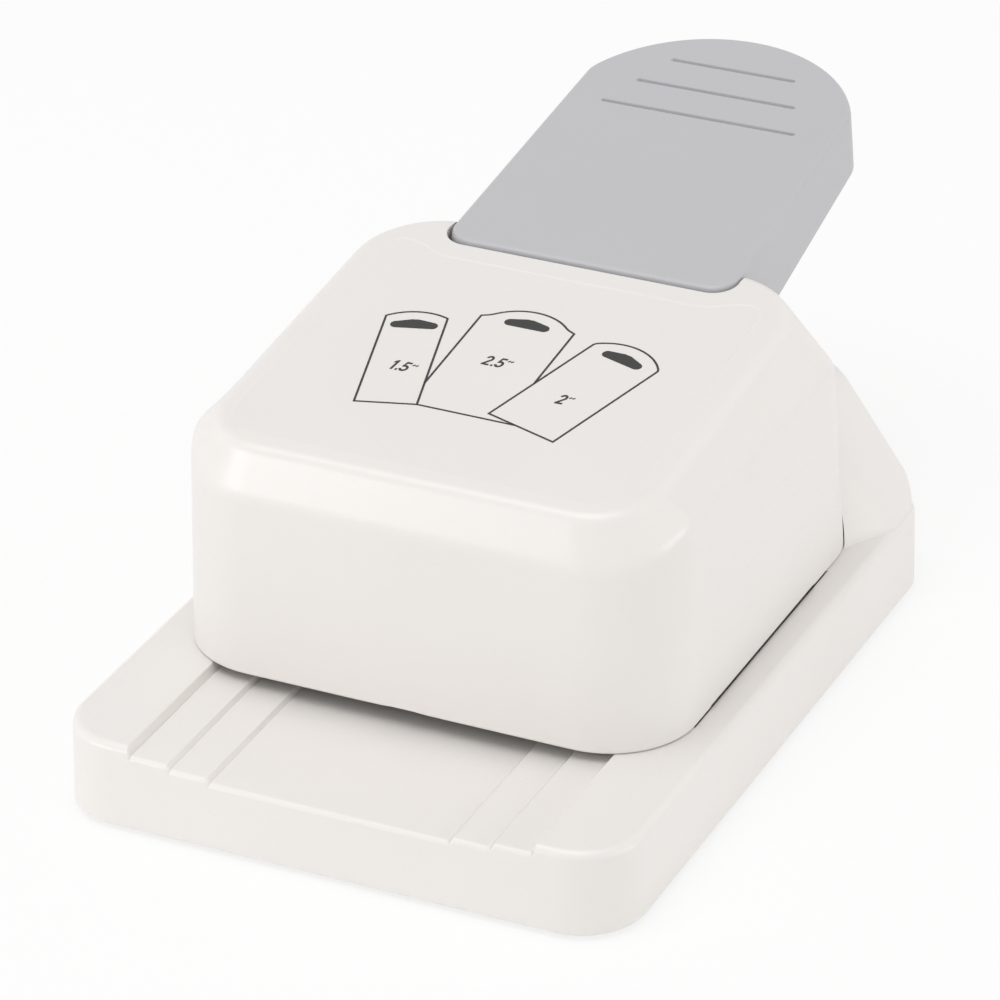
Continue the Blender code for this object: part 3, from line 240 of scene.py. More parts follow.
class TagPunchColours(bpy.types.PropertyGroup):
    """Colours of the finishes."""

    shell: colour_prop("head and base", "EEEAE7")
    shell_shade: colour_prop("warmer tone that drifts through the head and base", "EBE7E3")
    lever: colour_prop("lever", "C0C0C3")
    cover: colour_prop("bottom cover", "DEDBD4")
    ink: colour_prop("print", "161514")
    rubber: colour_prop("rubber feet", "2B2B2C")
    nylon: colour_prop("axle bushes", "1E1E1F")
    steel: colour_prop("ground steel", "C9CACC")
    zinc: colour_prop("zinc plate", "C3C6C8")
    floor: colour_prop("floor", "FAFAF9")


def sizes():
    return bpy.context.scene.tag_punch_sizes


def colours():
    return bpy.context.scene.tag_punch_colours


# Materials


def add(tree, kind, sockets=None, **settings):
    """Adds a node. A socket takes a value, or the socket of another node that feeds it."""
    made = tree.nodes.new(kind)
    for key, value in settings.items():
        setattr(made, key, value)
    for key, value in (sockets or {}).items():
        if isinstance(value, bpy.types.NodeSocket):
            tree.links.new(value, made.inputs[key])
        else:
            made.inputs[key].default_value = value
    return made


def blank(name):
    made = bpy.data.materials.new(name)
    made.use_nodes = True
    made.node_tree.nodes.clear()
    return made, made.node_tree


def shaded(colour, share):
    return [part * share for part in colour]


def finish(name, first, second, rough, scales, ior=None, stretch=(1.0, 1.0, 1.0)):
    """A finish with a fine grain, which varies its gloss and relief, and a slow drift between two tones. Its
    scales, in millimetres, are the grain's size, the relief's depth and the drift's size. Metals have no ior.
    """
    grain, depth, drift = (mm(size) for size in scales)
    made, tree = blank(name)
    place = add(tree, "ShaderNodeTexCoord").outputs["Object"]
    drawn = add(tree, "ShaderNodeMapping", {"Vector": place, "Scale": stretch}).outputs["Vector"]
    speckle = {"Vector": drawn, "Scale": 1 / grain, "Detail": 3.0, "Roughness": 0.6}
    fine = add(tree, "ShaderNodeTexNoise", speckle).outputs["Fac"]
    clouds = {"Vector": place, "Scale": 1 / drift, "Detail": 1.0}
    slow = add(tree, "ShaderNodeTexNoise", clouds).outputs["Fac"]
    tones = {0: slow, 6: (*first, 1.0), 7: (*second, 1.0)}
    tone = add(tree, "ShaderNodeMix", tones, data_type="RGBA").outputs[2]
    spread = {"From Min": 0.3, "From Max": 0.7, "To Min": rough - 0.03, "To Max": rough + 0.05}
    gloss = add(tree, "ShaderNodeMapRange", {"Value": fine, **spread}).outputs["Result"]
    tooth = {"Height": fine, "Strength": 0.3, "Distance": depth}
    relief = add(tree, "ShaderNodeBump", tooth).outputs["Normal"]
    kind = {"Metallic": 1.0} if ior is None else {"IOR": ior}
    surface = {"Base Color": tone, "Roughness": gloss, "Normal": relief, **kind}
    shader = add(tree, "ShaderNodeBsdfPrincipled", surface)
    add(tree, "ShaderNodeOutputMaterial", {"Surface": shader.outputs[0]})
    return made


# A grain drawn out along X, as a grinding wheel leaves it.
ALONG = (1, 18, 18)
MADE = {}


def finish_of(name):
    """A finish by its name, made once."""
    tone = colours()
    recipes = {
        # ABS moulded against a spark-eroded tool: satin, with a very fine even grain that softens every
        # highlight. The real grain is about 0.1 mm and is drawn coarser, so that it shows. The tone drifts a
        # little, which keeps the large faces from looking painted.
        "white": ("moulded_white_abs", tone.shell, tone.shell_shade, 0.3, (0.3, 0.03, 26), 1.54),
        # The same plastic in grey, with a duller face that hides the marks of thumbs. Its grain is drawn
        # coarser too.
        "grey": ("moulded_grey_abs", tone.lever, shaded(tone.lever, 0.98), 0.42, (0.3, 0.03, 20), 1.54),
        # The thin bottom cover, from a plainer tool: matt, with a grain that is seen as a slight tooth.
        "cover": ("moulded_cover_abs", tone.cover, shaded(tone.cover, 0.97), 0.52, (0.5, 0.05, 18), 1.54),
        # Ground steel: bright, with long fine scratches along the grinding, which pull its highlights into
        # streaks.
        "steel": ("ground_steel", tone.steel, shaded(tone.steel, 0.9), 0.28, (1.6, 0.006, 9), None, ALONG),
        # Zinc plate on pressed or turned steel: a soft satin, faintly mottled where the plate took unevenly.
        "zinc": ("zinc_plated_steel", tone.zinc, shaded(tone.zinc, 0.88), 0.36, (0.5, 0.01, 4)),
        # Spring wire, drawn through a die: the brightest of the metals, even all round.
        "wire": ("drawn_spring_wire", tone.steel, shaded(tone.steel, 0.94), 0.22, (0.4, 0.004, 6)),
        # Moulded nitrile rubber: dark and dull, with a fine matt tooth and a breath of dust.
        "rubber": ("moulded_rubber", tone.rubber, shaded(tone.rubber, 1.9), 0.8, (0.4, 0.05, 1.5), 1.52),
        # Moulded black nylon: a soft gloss over a faintly uneven skin.
        "nylon": ("moulded_nylon", tone.nylon, shaded(tone.nylon, 1.3), 0.4, (1.2, 0.05, 3), 1.53),
        # Pad-printed ink: near black and satin, a touch thin where the plastic's grain shows through it.
        "ink": ("pad_printed_ink", tone.ink, shaded(tone.ink, 1.5), 0.46, (0.25, 0.02, 0.8), 1.5),
    }
    if name not in MADE:
        MADE[name] = finish(*recipes[name])
    return MADE[name]


# Outlines


def arc(centre_x, centre_y, radius, start, end, steps):
    turns = [math.radians(start + (end - start) * k / steps) for k in range(steps + 1)]
    return [(centre_x + radius * math.cos(a), centre_y + radius * math.sin(a)) for a in turns]


def circle(x, y, radius, sides=40):
    return arc(x, y, radius, 0, 360 - 360 / sides, sides - 1)


def quarter(radius, steps):
    """A quarter round as (inset, rise), from its side to its top."""
    turns = [math.pi / 2 * k / steps for k in range(steps + 1)]
    return [(radius * (1 - math.cos(a)), radius * math.sin(a)) for a in turns]


def rounded_box(half, front, back, r_front, r_back=None, steps=CORNER_STEPS):
    """A rectangle with round corners, counter-clockwise from its front right corner."""
    r_back = r_front if r_back is None else r_back
    low, high = front + r_front, back - r_back
    corners = ((half - r_front, low, r_front), (half - r_back, high, r_back))
    corners += ((r_back - half, high, r_back), (r_front - half, low, r_front))
    turns = (-90, 0, 90, 180)
    return [point for place, turn in zip(corners, turns) for point in arc(*place, turn, turn + 90, steps)]


def mirrored(points):
    return [(-x, y) for x, y in reversed(points)]


def softened(column, reaches):
    """A line through the points, its inner corners rounded, each within its own reach."""
    line = [column[0]]
    for before, corner, after, reach in zip(column, column[1:], column[2:], reaches):
        arrive, leave = before - corner, after - corner
        start = corner + arrive.normalized() * min(reach, arrive.length / 2)
        end = corner + leave.normalized() * min(reach, leave.length / 2)
        for k in range(BEND_STEPS + 1):
            t = k / BEND_STEPS
            line.append(start * (1 - t) ** 2 + corner * 2 * t * (1 - t) + end * t**2)
    return line + [column[-1]]


def eased(share):
    share = min(max(share, 0.0), 1.0)
    return share * share * (3 - 2 * share)


def level(outline, height):
    """An outline at a height, which is a number or is worked out for each point."""
    lift = height if callable(height) else lambda x, y: height
    return [Vector((x, y, lift(x, y))) for x, y in outline]


def soft_rings(rings, reaches):
    return [list(ring) for ring in zip(*[softened(column, reaches) for column in zip(*rings)])]


# Meshes


def skin(rings):
    """A closed mesh through a stack of rings with the same number of points."""
    bm = bmesh.new()
    rows = [[bm.verts.new(point) for point in ring] for ring in rings]
    count = len(rows[0])
    for lower, upper in zip(rows, rows[1:]):
        for k in range(count):
            nxt = (k + 1) % count
            bm.faces.new((lower[k], lower[nxt], upper[nxt], upper[k]))
    bm.faces.new(rows[0][::-1])
    bm.faces.new(rows[-1])
    bmesh.ops.recalc_face_normals(bm, faces=bm.faces)
    return bm


def box(low, high):
    low, high = Vector(low), Vector(high)
    bm = bmesh.new()
    bmesh.ops.create_cube(bm, size=1.0)
    bmesh.ops.scale(bm, vec=high - low, verts=bm.verts)
    bmesh.ops.translate(bm, vec=(low + high) / 2, verts=bm.verts)
    return bm


def rods(rows, turn=Matrix.Identity(4)):
    """Cylinders that don't touch, each (middle, radius, length)."""
    bm = bmesh.new()
    for middle, radius, length in rows:
        shape = {"segments": 40, "radius1": radius, "radius2": radius, "depth": length}
        bmesh.ops.create_cone(bm, cap_ends=True, matrix=Matrix.Translation(middle) @ turn, **shape)
    return bm


def pillars(places, radius, bottom, top):
    return rods([(Vector((x, y, (bottom + top) / 2)), radius, top - bottom) for x, y in places])


def moved(bm, matrix):
    bmesh.ops.transform(bm, matrix=matrix, verts=bm.verts)
    return bm


def final_mesh(made):
    """The mesh that an object's modifiers or its curve make."""
    graph = bpy.context.evaluated_depsgraph_get()
    return bpy.data.meshes.new_from_object(made.evaluated_get(graph))


def mesh_of_curve(curve):
    drawn = bpy.data.objects.new("drawn", curve)
    bpy.context.scene.collection.objects.link(drawn)
    mesh = final_mesh(drawn)
    bpy.data.objects.remove(drawn, do_unlink=True)
    return mesh


def plate(loops, low, high, turn=Matrix.Identity(4)):
    """A flat outline with its holes, as thick as from low to high along its own normal."""
    flat = bpy.data.curves.new("outline", "CURVE")
    flat.dimensions = "2D"
    flat.fill_mode = "BOTH"
    flat.extrude = (high - low) / 2
    for loop in loops:
        spline = flat.splines.new("POLY")
        spline.points.add(len(loop) - 1)
        for point, (x, y) in zip(spline.points, loop):
            point.co = (x, y, 0.0, 1.0)
        spline.use_cyclic_u = True
    mesh = mesh_of_curve(flat)
    bm = bmesh.new()
    bm.from_mesh(mesh)
    bpy.data.meshes.remove(mesh)
    bmesh.ops.remove_doubles(bm, verts=bm.verts, dist=(high - low) * 0.01)
    bmesh.ops.translate(bm, vec=(0.0, 0.0, (low + high) / 2), verts=bm.verts)
    moved(bm, turn)
    bmesh.ops.recalc_face_normals(bm, faces=bm.faces)
    return bm


def joined(parts):
    """Several meshes as one."""
    bm = bmesh.new()
    for part in parts:
        mesh = bpy.data.meshes.new("part")
        part.to_mesh(mesh)
        part.free()
        bm.from_mesh(mesh)
        bpy.data.meshes.remove(mesh)
    return bm


def object_with(mesh, name):
    made = bpy.data.objects.new(name, mesh)
    bpy.context.scene.collection.objects.link(made)
    return made


def object_of(bm, name):
    mesh = bpy.data.meshes.new(name)
    bm.to_mesh(mesh)
    bm.free()
    return object_with(mesh, name)


def discard(made):
    mesh = made.data
    bpy.data.objects.remove(made, do_unlink=True)
    bpy.data.meshes.remove(mesh)


def carve(made, tool, operation="DIFFERENCE"):
    """Cuts a shape out of an object, or joins it on, at once."""
    other = object_of(tool, "tool")
    step = made.modifiers.new("carve", "BOOLEAN")
    step.operation, step.solver, step.object = operation, "EXACT", other
    mesh = final_mesh(made)
    made.modifiers.clear()
    old, made.data = made.data, mesh
    bpy.data.meshes.remove(old)
    discard(other)
    if not made.data.polygons:
        raise RuntimeError(f"{made.name} is empty after a Boolean")


def crisp(made, angle):
    """Shades a mesh smoothly, with the edges sharper than an angle kept crisp."""
    made.data.shade_smooth()
    made.data.set_sharp_from_angle(angle=math.radians(angle))


def weigh_normals(made, keep_sharp):
    """Lets the large faces set the shading, so that they look flat."""
    shade = made.modifiers.new("shade", "WEIGHTED_NORMAL")
    shade.weight, shade.keep_sharp = 80, keep_sharp


def clean_shell(made, angle):
    """Merges the double points that the cuts leave, takes out edges between flat faces, and shades it."""
    bm = bmesh.new()
    bm.from_mesh(made.data)
    bmesh.ops.remove_doubles(bm, verts=bm.verts, dist=0.01 * MM)
    bmesh.ops.dissolve_limit(bm, angle_limit=math.radians(0.2), verts=bm.verts, edges=bm.edges)
    bm.to_mesh(made.data)
    bm.free()
    crisp(made, angle)
    weigh_normals(made, True)


def coat(made, material):
    made.data.materials.clear()
    made.data.materials.append(finish_of(material))


def put_in_place(made, material, body, *nodes, slot=None):
    """Moves a piece from the bench to its place, with its finish, body and the nodes that it stands for."""
    made.data.transform(BENCH)
    coat(made, material)
    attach(made, body)
    if nodes:
        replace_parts(made, *nodes)


def over(low, high, height):
    """The middle of a box from above, at a height."""
    return ((low.x + high.x) / 2, (low.y + high.y) / 2, height)


def screw_places(stem):
    """The middles of the CAD screws of one kind, from above, on the bench."""
    middles = [over(*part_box(f"{stem}_{end}"), 0.0) for end in ENDS]
    return [(x, y - BASE_LOW.y) for x, y, _ in middles]


# Base


def base_outline(inset):
    front, back = BASE_CORNERS
    return rounded_box(BASE_HALF - inset, inset, BASE_LENGTH - inset, front - inset, back - inset)


def hump_profile(shrink, inset, bottom):
    """Half a cross-section is a soft foot on the rim, a leaning side and a round shoulder."""
    run = HUMP_RUN / (HUMP_HEIGHT - RIM_HEIGHT)
    lean = math.atan2(HUMP_HEIGHT - RIM_HEIGHT, HUMP_RUN)
    top, radius = HUMP_HEIGHT - shrink, HUMP_ROUND - shrink
    foot = BASE_HALF - HUMP_FOOT_INSET - shrink - inset
    centre = foot - run * (top - RIM_HEIGHT) - radius * math.tan(lean / 2)
    bend = arc(centre, top - radius, radius, 90 - math.degrees(lean), 90, CORNER_STEPS)
    half = [(foot + mm(HUMP_FOOT[0][0]), bottom)]
    half += [(foot + mm(x), RIM_HEIGHT + mm(z)) for x, z in HUMP_FOOT] + bend
    return half + mirrored(half)


def hump(shrink, bottom, front_rows, front_lean, back, edge):
    """The hump through its front rows, each (inset, back), to a round edge at its back."""
    back_lean = HUMP_TAPER / (HUMP_HEIGHT - RIM_HEIGHT)

    def ring(extra, inset, y, lean):
        profile = hump_profile(shrink + extra, inset, bottom)
        return [Vector((x, y - lean * (z - RIM_HEIGHT), z)) for x, z in profile]

    rows = [ring(0.0, inset, y, front_lean) for inset, y in front_rows]
    rows += [ring(inset, 0.0, back - (edge - rise), back_lean) for inset, rise in quarter(edge, 4)]
    return skin(rows)


def hump_nook():
    """The room that the head's back takes out of the hump, a hair wider than the head."""
    hug = sizes().hug
    low = level(head_outline(-hug, 0.0, 0.0, 0.0, HEAD_CORNERS), RIM_HEIGHT - GAP)
    return skin([low, level(head_outline(-hug, HEAD_DRAFT, 0.0, HEAD_LEAN, HEAD_CORNERS), SHOULDER_REAR)])


def trimmed_hump(shape, inset, *cutters):
    """A hump kept within the base's outline, less what is cut out of it."""
    block = object_of(shape, "hump")
    low = level(base_outline(HUMP_TRIM + inset), CEILING - 2 * OVERRUN)
    high = level(base_outline(HUMP_TRIM + inset + HUMP_TAPER), HUMP_HEIGHT + OVERRUN)
    carve(block, skin([low, high]), "INTERSECT")
    for cutter in cutters:
        carve(block, cutter)
    bm = bmesh.new()
    bm.from_mesh(block.data)
    discard(block)
    return bm


def step_side(foot, low, high, radius):
    """One side of a channel step: a witness line at its foot, a leaning wall and a round upper edge."""
    groove, deep = STEP_GROOVE_WIDTH, STEP_GROOVE_DEPTH
    wall = foot + STEP_LEAN
    turns = [math.radians(t) for t in (180, 157, 134, 112, 96)]
    edge = [(wall + radius * (1 + math.cos(t)), high - radius * (1 - math.sin(t))) for t in turns]
    return [(foot - groove, low), (foot - groove * 0.4, low - deep), (foot, low)] + edge


def channel_cutter():
    """The stepped paper channel. Its floor rolls over at the front as the rim does."""
    wide, middle, inner = CHANNEL_STEPS
    wide_paper, middle_paper, narrow_paper = PAPER_WIDTHS
    floor = RIM_HEIGHT - wide - middle - inner
    first = floor + inner
    second = first + middle
    radius = sizes().step_round
    half = step_side(narrow_paper / 2, floor, first, radius)
    half += step_side(middle_paper / 2, first, second, radius)
    half += step_side(wide_paper / 2, second, RIM_HEIGHT, radius * 1.4)
    half.append((half[-1][0] + mm(0.3), RIM_HEIGHT + mm(0.05)))
    half.append((half[-1][0], RIM_HEIGHT + OVERRUN))
    points = half + mirrored(half)
    rows = [(-OVERRUN, CHANNEL_ROLL)]
    rows += [(BASE_TAPER + inset, CHANNEL_ROLL - rise) for inset, rise in quarter(CHANNEL_ROLL, RIM_STEPS)]
    rows.append((CHANNEL_BACK, 0.0))

    def ring(y, drop):
        return [Vector((x, y, z - drop if z < RIM_HEIGHT + MM else z)) for x, z in points]

    return skin([ring(y, drop) for y, drop in rows])


def chute(bottom, top, grow):
    margin = CHUTE_MARGIN + grow
    half = PAPER_WIDTHS[0] / 2 + mm(0.15) + margin
    return box((-half, CHUTE_FRONT - margin, bottom), (half, CHUTE_BACK + margin, top))


class TAGPUNCH_OT_base(bpy.types.Operator):
    """Builds the white base: the stepped paper channel, the soft rim, the hump and the hollow underside"""

    bl_idname = "tag_punch.base"
    bl_label = "Base shell"

    def execute(self, context):
        rings = [level(base_outline(FOOT_EDGE), 0.0), level(base_outline(0.0), FOOT_EDGE)]
        for inset, rise in quarter(RIM_ROUND, RIM_STEPS):
            rings.append(level(base_outline(BASE_TAPER + inset), RIM_HEIGHT - RIM_ROUND + rise))
        made = object_of(skin(rings), "base_shell_fine")

        wings = []
        for k in range(HUMP_WING_STEPS + 1):
            share = k / HUMP_WING_STEPS
            run = (HUMP_FRONT - HUMP_WING) * share
            wings.append((HUMP_WING_INSET * (1 - eased(share)), HUMP_WING + run))
        outer = hump(0.0, CEILING, wings, 0.0, HUMP_BACK, HUMP_EDGE)
        carve(made, trimmed_hump(outer, 0.0, hump_nook()), "UNION")

        room = base_outline(BASE_WALL)
        carve(made, skin([level(room, -OVERRUN), level(room, CEILING)]))
        lean = HEAD_LEAN / (SHOULDER_REAR - RIM_HEIGHT)
        front = [(0.0, HUMP_FRONT + BASE_WALL)]
        inner = hump(BASE_WALL, CEILING - OVERRUN, front, lean, HUMP_BACK - BASE_WALL, GAP)
        carve(made, trimmed_hump(inner, BASE_WALL))

        carve(made, channel_cutter())
        low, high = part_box("die_plate")
        low = BENCH.inverted() @ (low - Vector((GAP, GAP, GAP)))
        high = BENCH.inverted() @ (high + Vector((GAP, GAP, 0.0)))
        carve(made, box(low, (high.x, high.y, RIM_HEIGHT + OVERRUN)))

        # Posts for the screws hang from the ceiling, and a wall runs round the chute.
        post_top = CEILING + mm(0.6)
        set_screws, cover_screws = screw_places("set_screw"), screw_places("cover_screw")
        carve(made, chute(POST_BOTTOM, post_top, CHUTE_WALL), "UNION")
        carve(made, pillars(set_screws + cover_screws, POST_RADIUS, POST_BOTTOM, post_top), "UNION")
        carve(made, chute(CHUTE_BOTTOM, CHUTE_TOP, 0.0))
        holes = [
            pillars(set_screws, SCREW_BORE, CHUTE_BOTTOM, CHUTE_TOP),
            pillars(cover_screws, SCREW_BORE, mm(0.6), mm(6.7)),
            pillars(screw_places("head_screw"), SCREW_BORE, mm(5.2), mm(15.4)),
        ]
        carve(made, joined(holes))

        # A trench under each slit of the head lets the dark show.
        for side in (-1, 1):
            left, right = sorted((side * (HEAD_HALF - TRENCH), side * (HEAD_HALF - mm(0.02))))
            front, back = TRENCH_ENDS
            carve(made, box((left, front, RIM_HEIGHT - TRENCH), (right, back, RIM_HEIGHT + OVERRUN)))
        clean_shell(made, 32.0)
        put_in_place(made, "white", "base", "base_shell", slot="white_plastic")
        return {"FINISHED"}


# Head


def top_height(y):
    return TOP_LOW + TOP_SLOPE * (y - TOP_FRONT)


def shoulder_height(x, y):
    front = 1 - eased((y - HEAD_FRONT) / HEAD_CORNERS[0])
    rear = 1 - eased((HEAD_BACK - HEAD_LEAN - y) / HEAD_CORNERS[1])
    return SHOULDER_SIDE - (SHOULDER_SIDE - SHOULDER_FRONT) * front - (SHOULDER_SIDE - SHOULDER_REAR) * rear


def head_outline(shrink, side, front, back, corners):
    low, high = HEAD_FRONT + front + shrink, HEAD_BACK - back - shrink
    return rounded_box(HEAD_HALF - side - shrink, low, high, *[corner - shrink for corner in corners])


def head_block(shrink, bottom):
    """The head from its rounded foot over its shoulders and the sloping band to its top."""
    drop = shrink / math.cos(math.atan(TOP_SLOPE))
    foot, band, side = sizes().edge_round, BAND_INSET, TOP_SIDE_INSET
    front, back = TOP_FRONT - HEAD_FRONT, HEAD_BACK - TOP_BACK
    inner_corners = [corner - band for corner in TOP_CORNERS]
    rows = (
        ((shrink + foot, 0.0, 0.0, 0.0, HEAD_CORNERS), bottom),
        ((shrink, 0.0, 0.0, 0.0, HEAD_CORNERS), bottom + foot),
        (
            (shrink, HEAD_DRAFT, HEAD_DRAFT / 2, HEAD_LEAN, HEAD_CORNERS),
            lambda x, y: shoulder_height(x, y) - drop,
        ),
        ((shrink, side, front, back, TOP_CORNERS), lambda x, y: top_height(y) - TOP_EDGE_DROP - drop),
        (
            (shrink, side + band, front + band, back + band, inner_corners),
            lambda x, y: top_height(y) - drop,
        ),
    )
    rings = [level(head_outline(*outline), height) for outline, height in rows]
    return skin(soft_rings(rings, [foot * 0.6, HEAD_BEND, HEAD_BEND]))


def slot_cutter():
    """The lever's slot, which opens out along a round lip at the head's top."""
    lean = LEVER_FLARE / LEVER_DEPTH_FRONT
    front_top = top_height(LEVER_FRONT) - LEVER_SUNK
    lip = sizes().edge_round

    def ring(grow, height):
        half = LEVER_HALF_FRONT + LEVER_PLAY + grow
        outline = rounded_box(half, SLOT_FRONT - grow, HEAD_BACK + OVERRUN, SLOT_CORNER + grow, GAP)
        return level(outline, height)

    rings = [ring(lean * (front_top - SLOT_BOTTOM), SLOT_BOTTOM)]
    for turn in map(math.radians, SLOT_TURNS):
        under = lip * (1 - math.sin(turn))
        rings.append(ring(lip * (1 - math.cos(turn)), lambda x, y, under=under: top_height(y) - under))
    rings.append(ring(lip + GAP, lambda x, y: top_height(y) + lip))
    rings.append(ring(lip + GAP, lambda x, y: top_height(y) + OVERRUN))
    return skin(rings)


def panel_outline(grow):
    """The panel on the top: a wide round-cornered field with two ears beside the lever's slot."""
    half_front, half_back, front, r = mm(31.5) + grow, mm(30.5) + grow, mm(31.0) - grow, mm(6.0) + grow
    right = arc(half_front - r, front + r, r, -90, 0, CORNER_STEPS)
    ear = [
        Vector((half_back + mm(0.1), mm(76.0))),
        Vector((half_back - mm(0.5), mm(86.8) + grow)),
        Vector((mm(25.1), mm(85.7) + grow)),
        Vector((mm(22.0), mm(83.6) + grow)),
        Vector((mm(6.0), mm(83.6) + grow)),
    ]
    right += [tuple(p) for p in softened(ear, [mm(4.4), mm(2.0), mm(1.8)])]
    return right + mirrored(right)


def panel_cutter():
    """The room above the sunk panel, with a sloping edge round it."""
    rows = []
    depth = sizes().panel_depth
    for grow, rise in ((0.0, -depth), (depth * PANEL_SLOPE, 0.0), (depth * PANEL_SLOPE + MM, MM)):
        rows.append(level(panel_outline(grow), lambda x, y, rise=rise: top_height(y) + rise))
    return skin(rows)


class TAGPUNCH_OT_head(bpy.types.Operator):
    """Builds the white head cover: soft shoulders, a sunk panel, the lever's slot and the open slits below"""

    bl_idname = "tag_punch.head"
    bl_label = "Head cover"

    def execute(self, context):
        bottom = RIM_HEIGHT + sizes().seam
        made = object_of(head_block(0.0, bottom), "head_cover_fine")
        carve(made, panel_cutter())
        carve(made, head_block(HEAD_WALL, bottom - 2 * OVERRUN))
        carve(made, slot_cutter())

        # The front edge rises in a low wave over the middle of the channel.
        wave = [(6.0, 0.0), (3.4, 0.1), (1.4, 0.34), (-2.4, 0.34), (-4.4, 0.1), (-7.0, 0.0)]
        outline = [(mm(x), bottom + mm(z)) for x, z in wave]
        outline += [(outline[-1][0], bottom - OVERRUN), (outline[0][0], bottom - OVERRUN)]
        low, high = -(HEAD_FRONT + HEAD_WALL + OVERRUN), -(HEAD_FRONT - OVERRUN)
        carve(made, plate([outline], low, high, FACING))

        reach = HEAD_HALF + OVERRUN
        for front, back, height in ((39.2, 89.5, sizes().slit * 0.4), (44.8, 84.5, sizes().slit)):
            low = (-reach, mm(front), bottom - OVERRUN)
            carve(made, box(low, (reach, mm(back), RIM_HEIGHT + height)))
        places, boss = screw_places("head_screw"), RIM_HEIGHT + GAP
        carve(made, pillars(places, POST_RADIUS, boss, boss + HEAD_BOSS), "UNION")
        carve(made, pillars(places, SCREW_BORE, mm(11.7), mm(20.0)))
        clean_shell(made, 12.0)
        put_in_place(made, "white", "base", "head_cover", slot="white_plastic")
        return {"FINISHED"}


# Lever


def lever_top(y):
    share = (y - LEVER_FRONT) / (LEVER_END - LEVER_FRONT)
    lift = sizes().lever_lift * (1 - share)
    return top_height(LEVER_FRONT) - LEVER_SUNK + lift + LEVER_RISE * share


def lever_bottom(y):
    share = (y - LEVER_FRONT) / (LEVER_END - LEVER_FRONT)
    return lever_top(y) - LEVER_DEPTH_FRONT + (LEVER_DEPTH_FRONT - LEVER_DEPTH_TAIL) * share


def lever_outline(grow):
    tail, bend, corner = LEVER_TAIL_RADIUS, LEVER_SHOULDER, LEVER_CORNER
    centre = LEVER_END - tail
    bend_x = LEVER_HALF_TAIL - bend
    bend_y = centre + math.sqrt((tail - bend) ** 2 - bend_x**2)
    turn = math.degrees(math.atan2(bend_y - centre, bend_x))
    right = arc(LEVER_HALF_FRONT - corner, LEVER_FRONT + corner, corner + grow, -90, 0, CORNER_STEPS)
    right += arc(bend_x, bend_y, bend + grow, 0, turn, CORNER_STEPS)
    right += arc(0.0, centre, tail + grow, turn, 90, 2 * CORNER_STEPS)[1:]
    return right + mirrored(right[:-1])


def lever_ring(grow, height, lift=0.0):
    return level(lever_outline(grow), lambda x, y: height(y) + lift)


def arm_outline():
    """One of the two arms inside the head, (back, up)."""
    lip = top_height(SLOT_FRONT) - HEAD_WALL / math.cos(math.atan(TOP_SLOPE)) - 2 * GAP
    inside, around, hub = LEVER_FRONT + LEVER_WALL, mm(3.8), HUB_RADIUS
    tail, bite = inside + LEVER_DEPTH_FRONT, mm(1.0)
    return [
        (AXLE.y, AXLE.z - hub + bite),
        (PRESS_PIN.y - around, PRESS_PIN.z - around),
        (PRESS_PIN.y + around, PRESS_PIN.z - around),
        (inside + bite, lever_bottom(LEVER_FRONT) - bite),
        (tail, lever_bottom(tail) + bite),
        (tail, lever_top(tail) - bite),
        (inside + bite, lever_top(inside) - bite),
        (inside + bite, lip - GAP),
        (SLOT_FRONT, lip - GAP),
        (AXLE.y + hub, AXLE.z + hub - mm(0.6)),
        (AXLE.y, AXLE.z + hub - bite),
    ]


def thumb_groove(number):
    """A groove with a narrower floor. Each groove is wider than the one behind it."""
    y = LEVER_END - GROOVE_FIRST - GROOVE_PITCH * number
    half, wide = GROOVE_HALF + GROOVE_GROWTH * number, GROOVE_WIDTH / 2
    floor = lever_top(y) - sizes().groove_depth
    low = rounded_box(half - mm(0.15), y - wide * 0.7, y + wide * 0.7, mm(0.3), steps=4)
    high = rounded_box(half, y - wide, y + wide, mm(0.42), steps=4)
    return skin([level(low, floor), level(high, floor + mm(0.55)), level(high, floor + mm(3.0))])


class TAGPUNCH_OT_lever(bpy.types.Operator):
    """Builds the grey lever: the round tail, the thumb grooves and the arms inside the head"""

    bl_idname = "tag_punch.lever"
    bl_label = "Lever"

    def execute(self, context):
        foot = sizes().edge_round
        rings = [
            lever_ring(LEVER_FLARE - foot, lever_bottom),
            lever_ring(LEVER_FLARE, lever_bottom, foot),
            lever_ring(0.0, lever_top),
            lever_ring(-mm(2.4), lever_top),
        ]
        made = object_of(skin(soft_rings(rings, [foot * 0.6, mm(1.0)])), "lever_fine")
        room = [
            lever_ring(LEVER_FLARE - LEVER_WALL, lever_bottom, -OVERRUN),
            lever_ring(-LEVER_WALL, lever_top, -LEVER_WALL * 1.012),
        ]
        carve(made, skin(room))
        bore = circle(PRESS_PIN.y, PRESS_PIN.z, PIN_BORE)
        for side in (-1, 1):
            low, high = sorted(side * reach for reach in ARM_SIDES)
            carve(made, plate([arm_outline(), bore], low, high, UPRIGHT), "UNION")

        # A web ties the two arms together, and a hub runs from one to the other.
        half = sum(ARM_SIDES) / 2
        low = (-half, AXLE.y + HUB_RADIUS / 2, AXLE.z)
        carve(made, box(low, (half, PRESS_PIN.y - mm(5.5), AXLE.z + mm(2.0))), "UNION")
        across = Matrix.Rotation(math.pi / 2, 4, "Y")
        carve(made, rods([(AXLE, HUB_RADIUS, mm(42.6))], across), "UNION")
        carve(made, rods([(AXLE, PIN_BORE, mm(47.0))], across))
        for number in range(THUMB_GROOVES):
            carve(made, thumb_groove(number))
        clean_shell(made, 32.0)
        put_in_place(made, "grey", "lever", "lever", slot="grey_plastic")
        return {"FINISHED"}


# Print


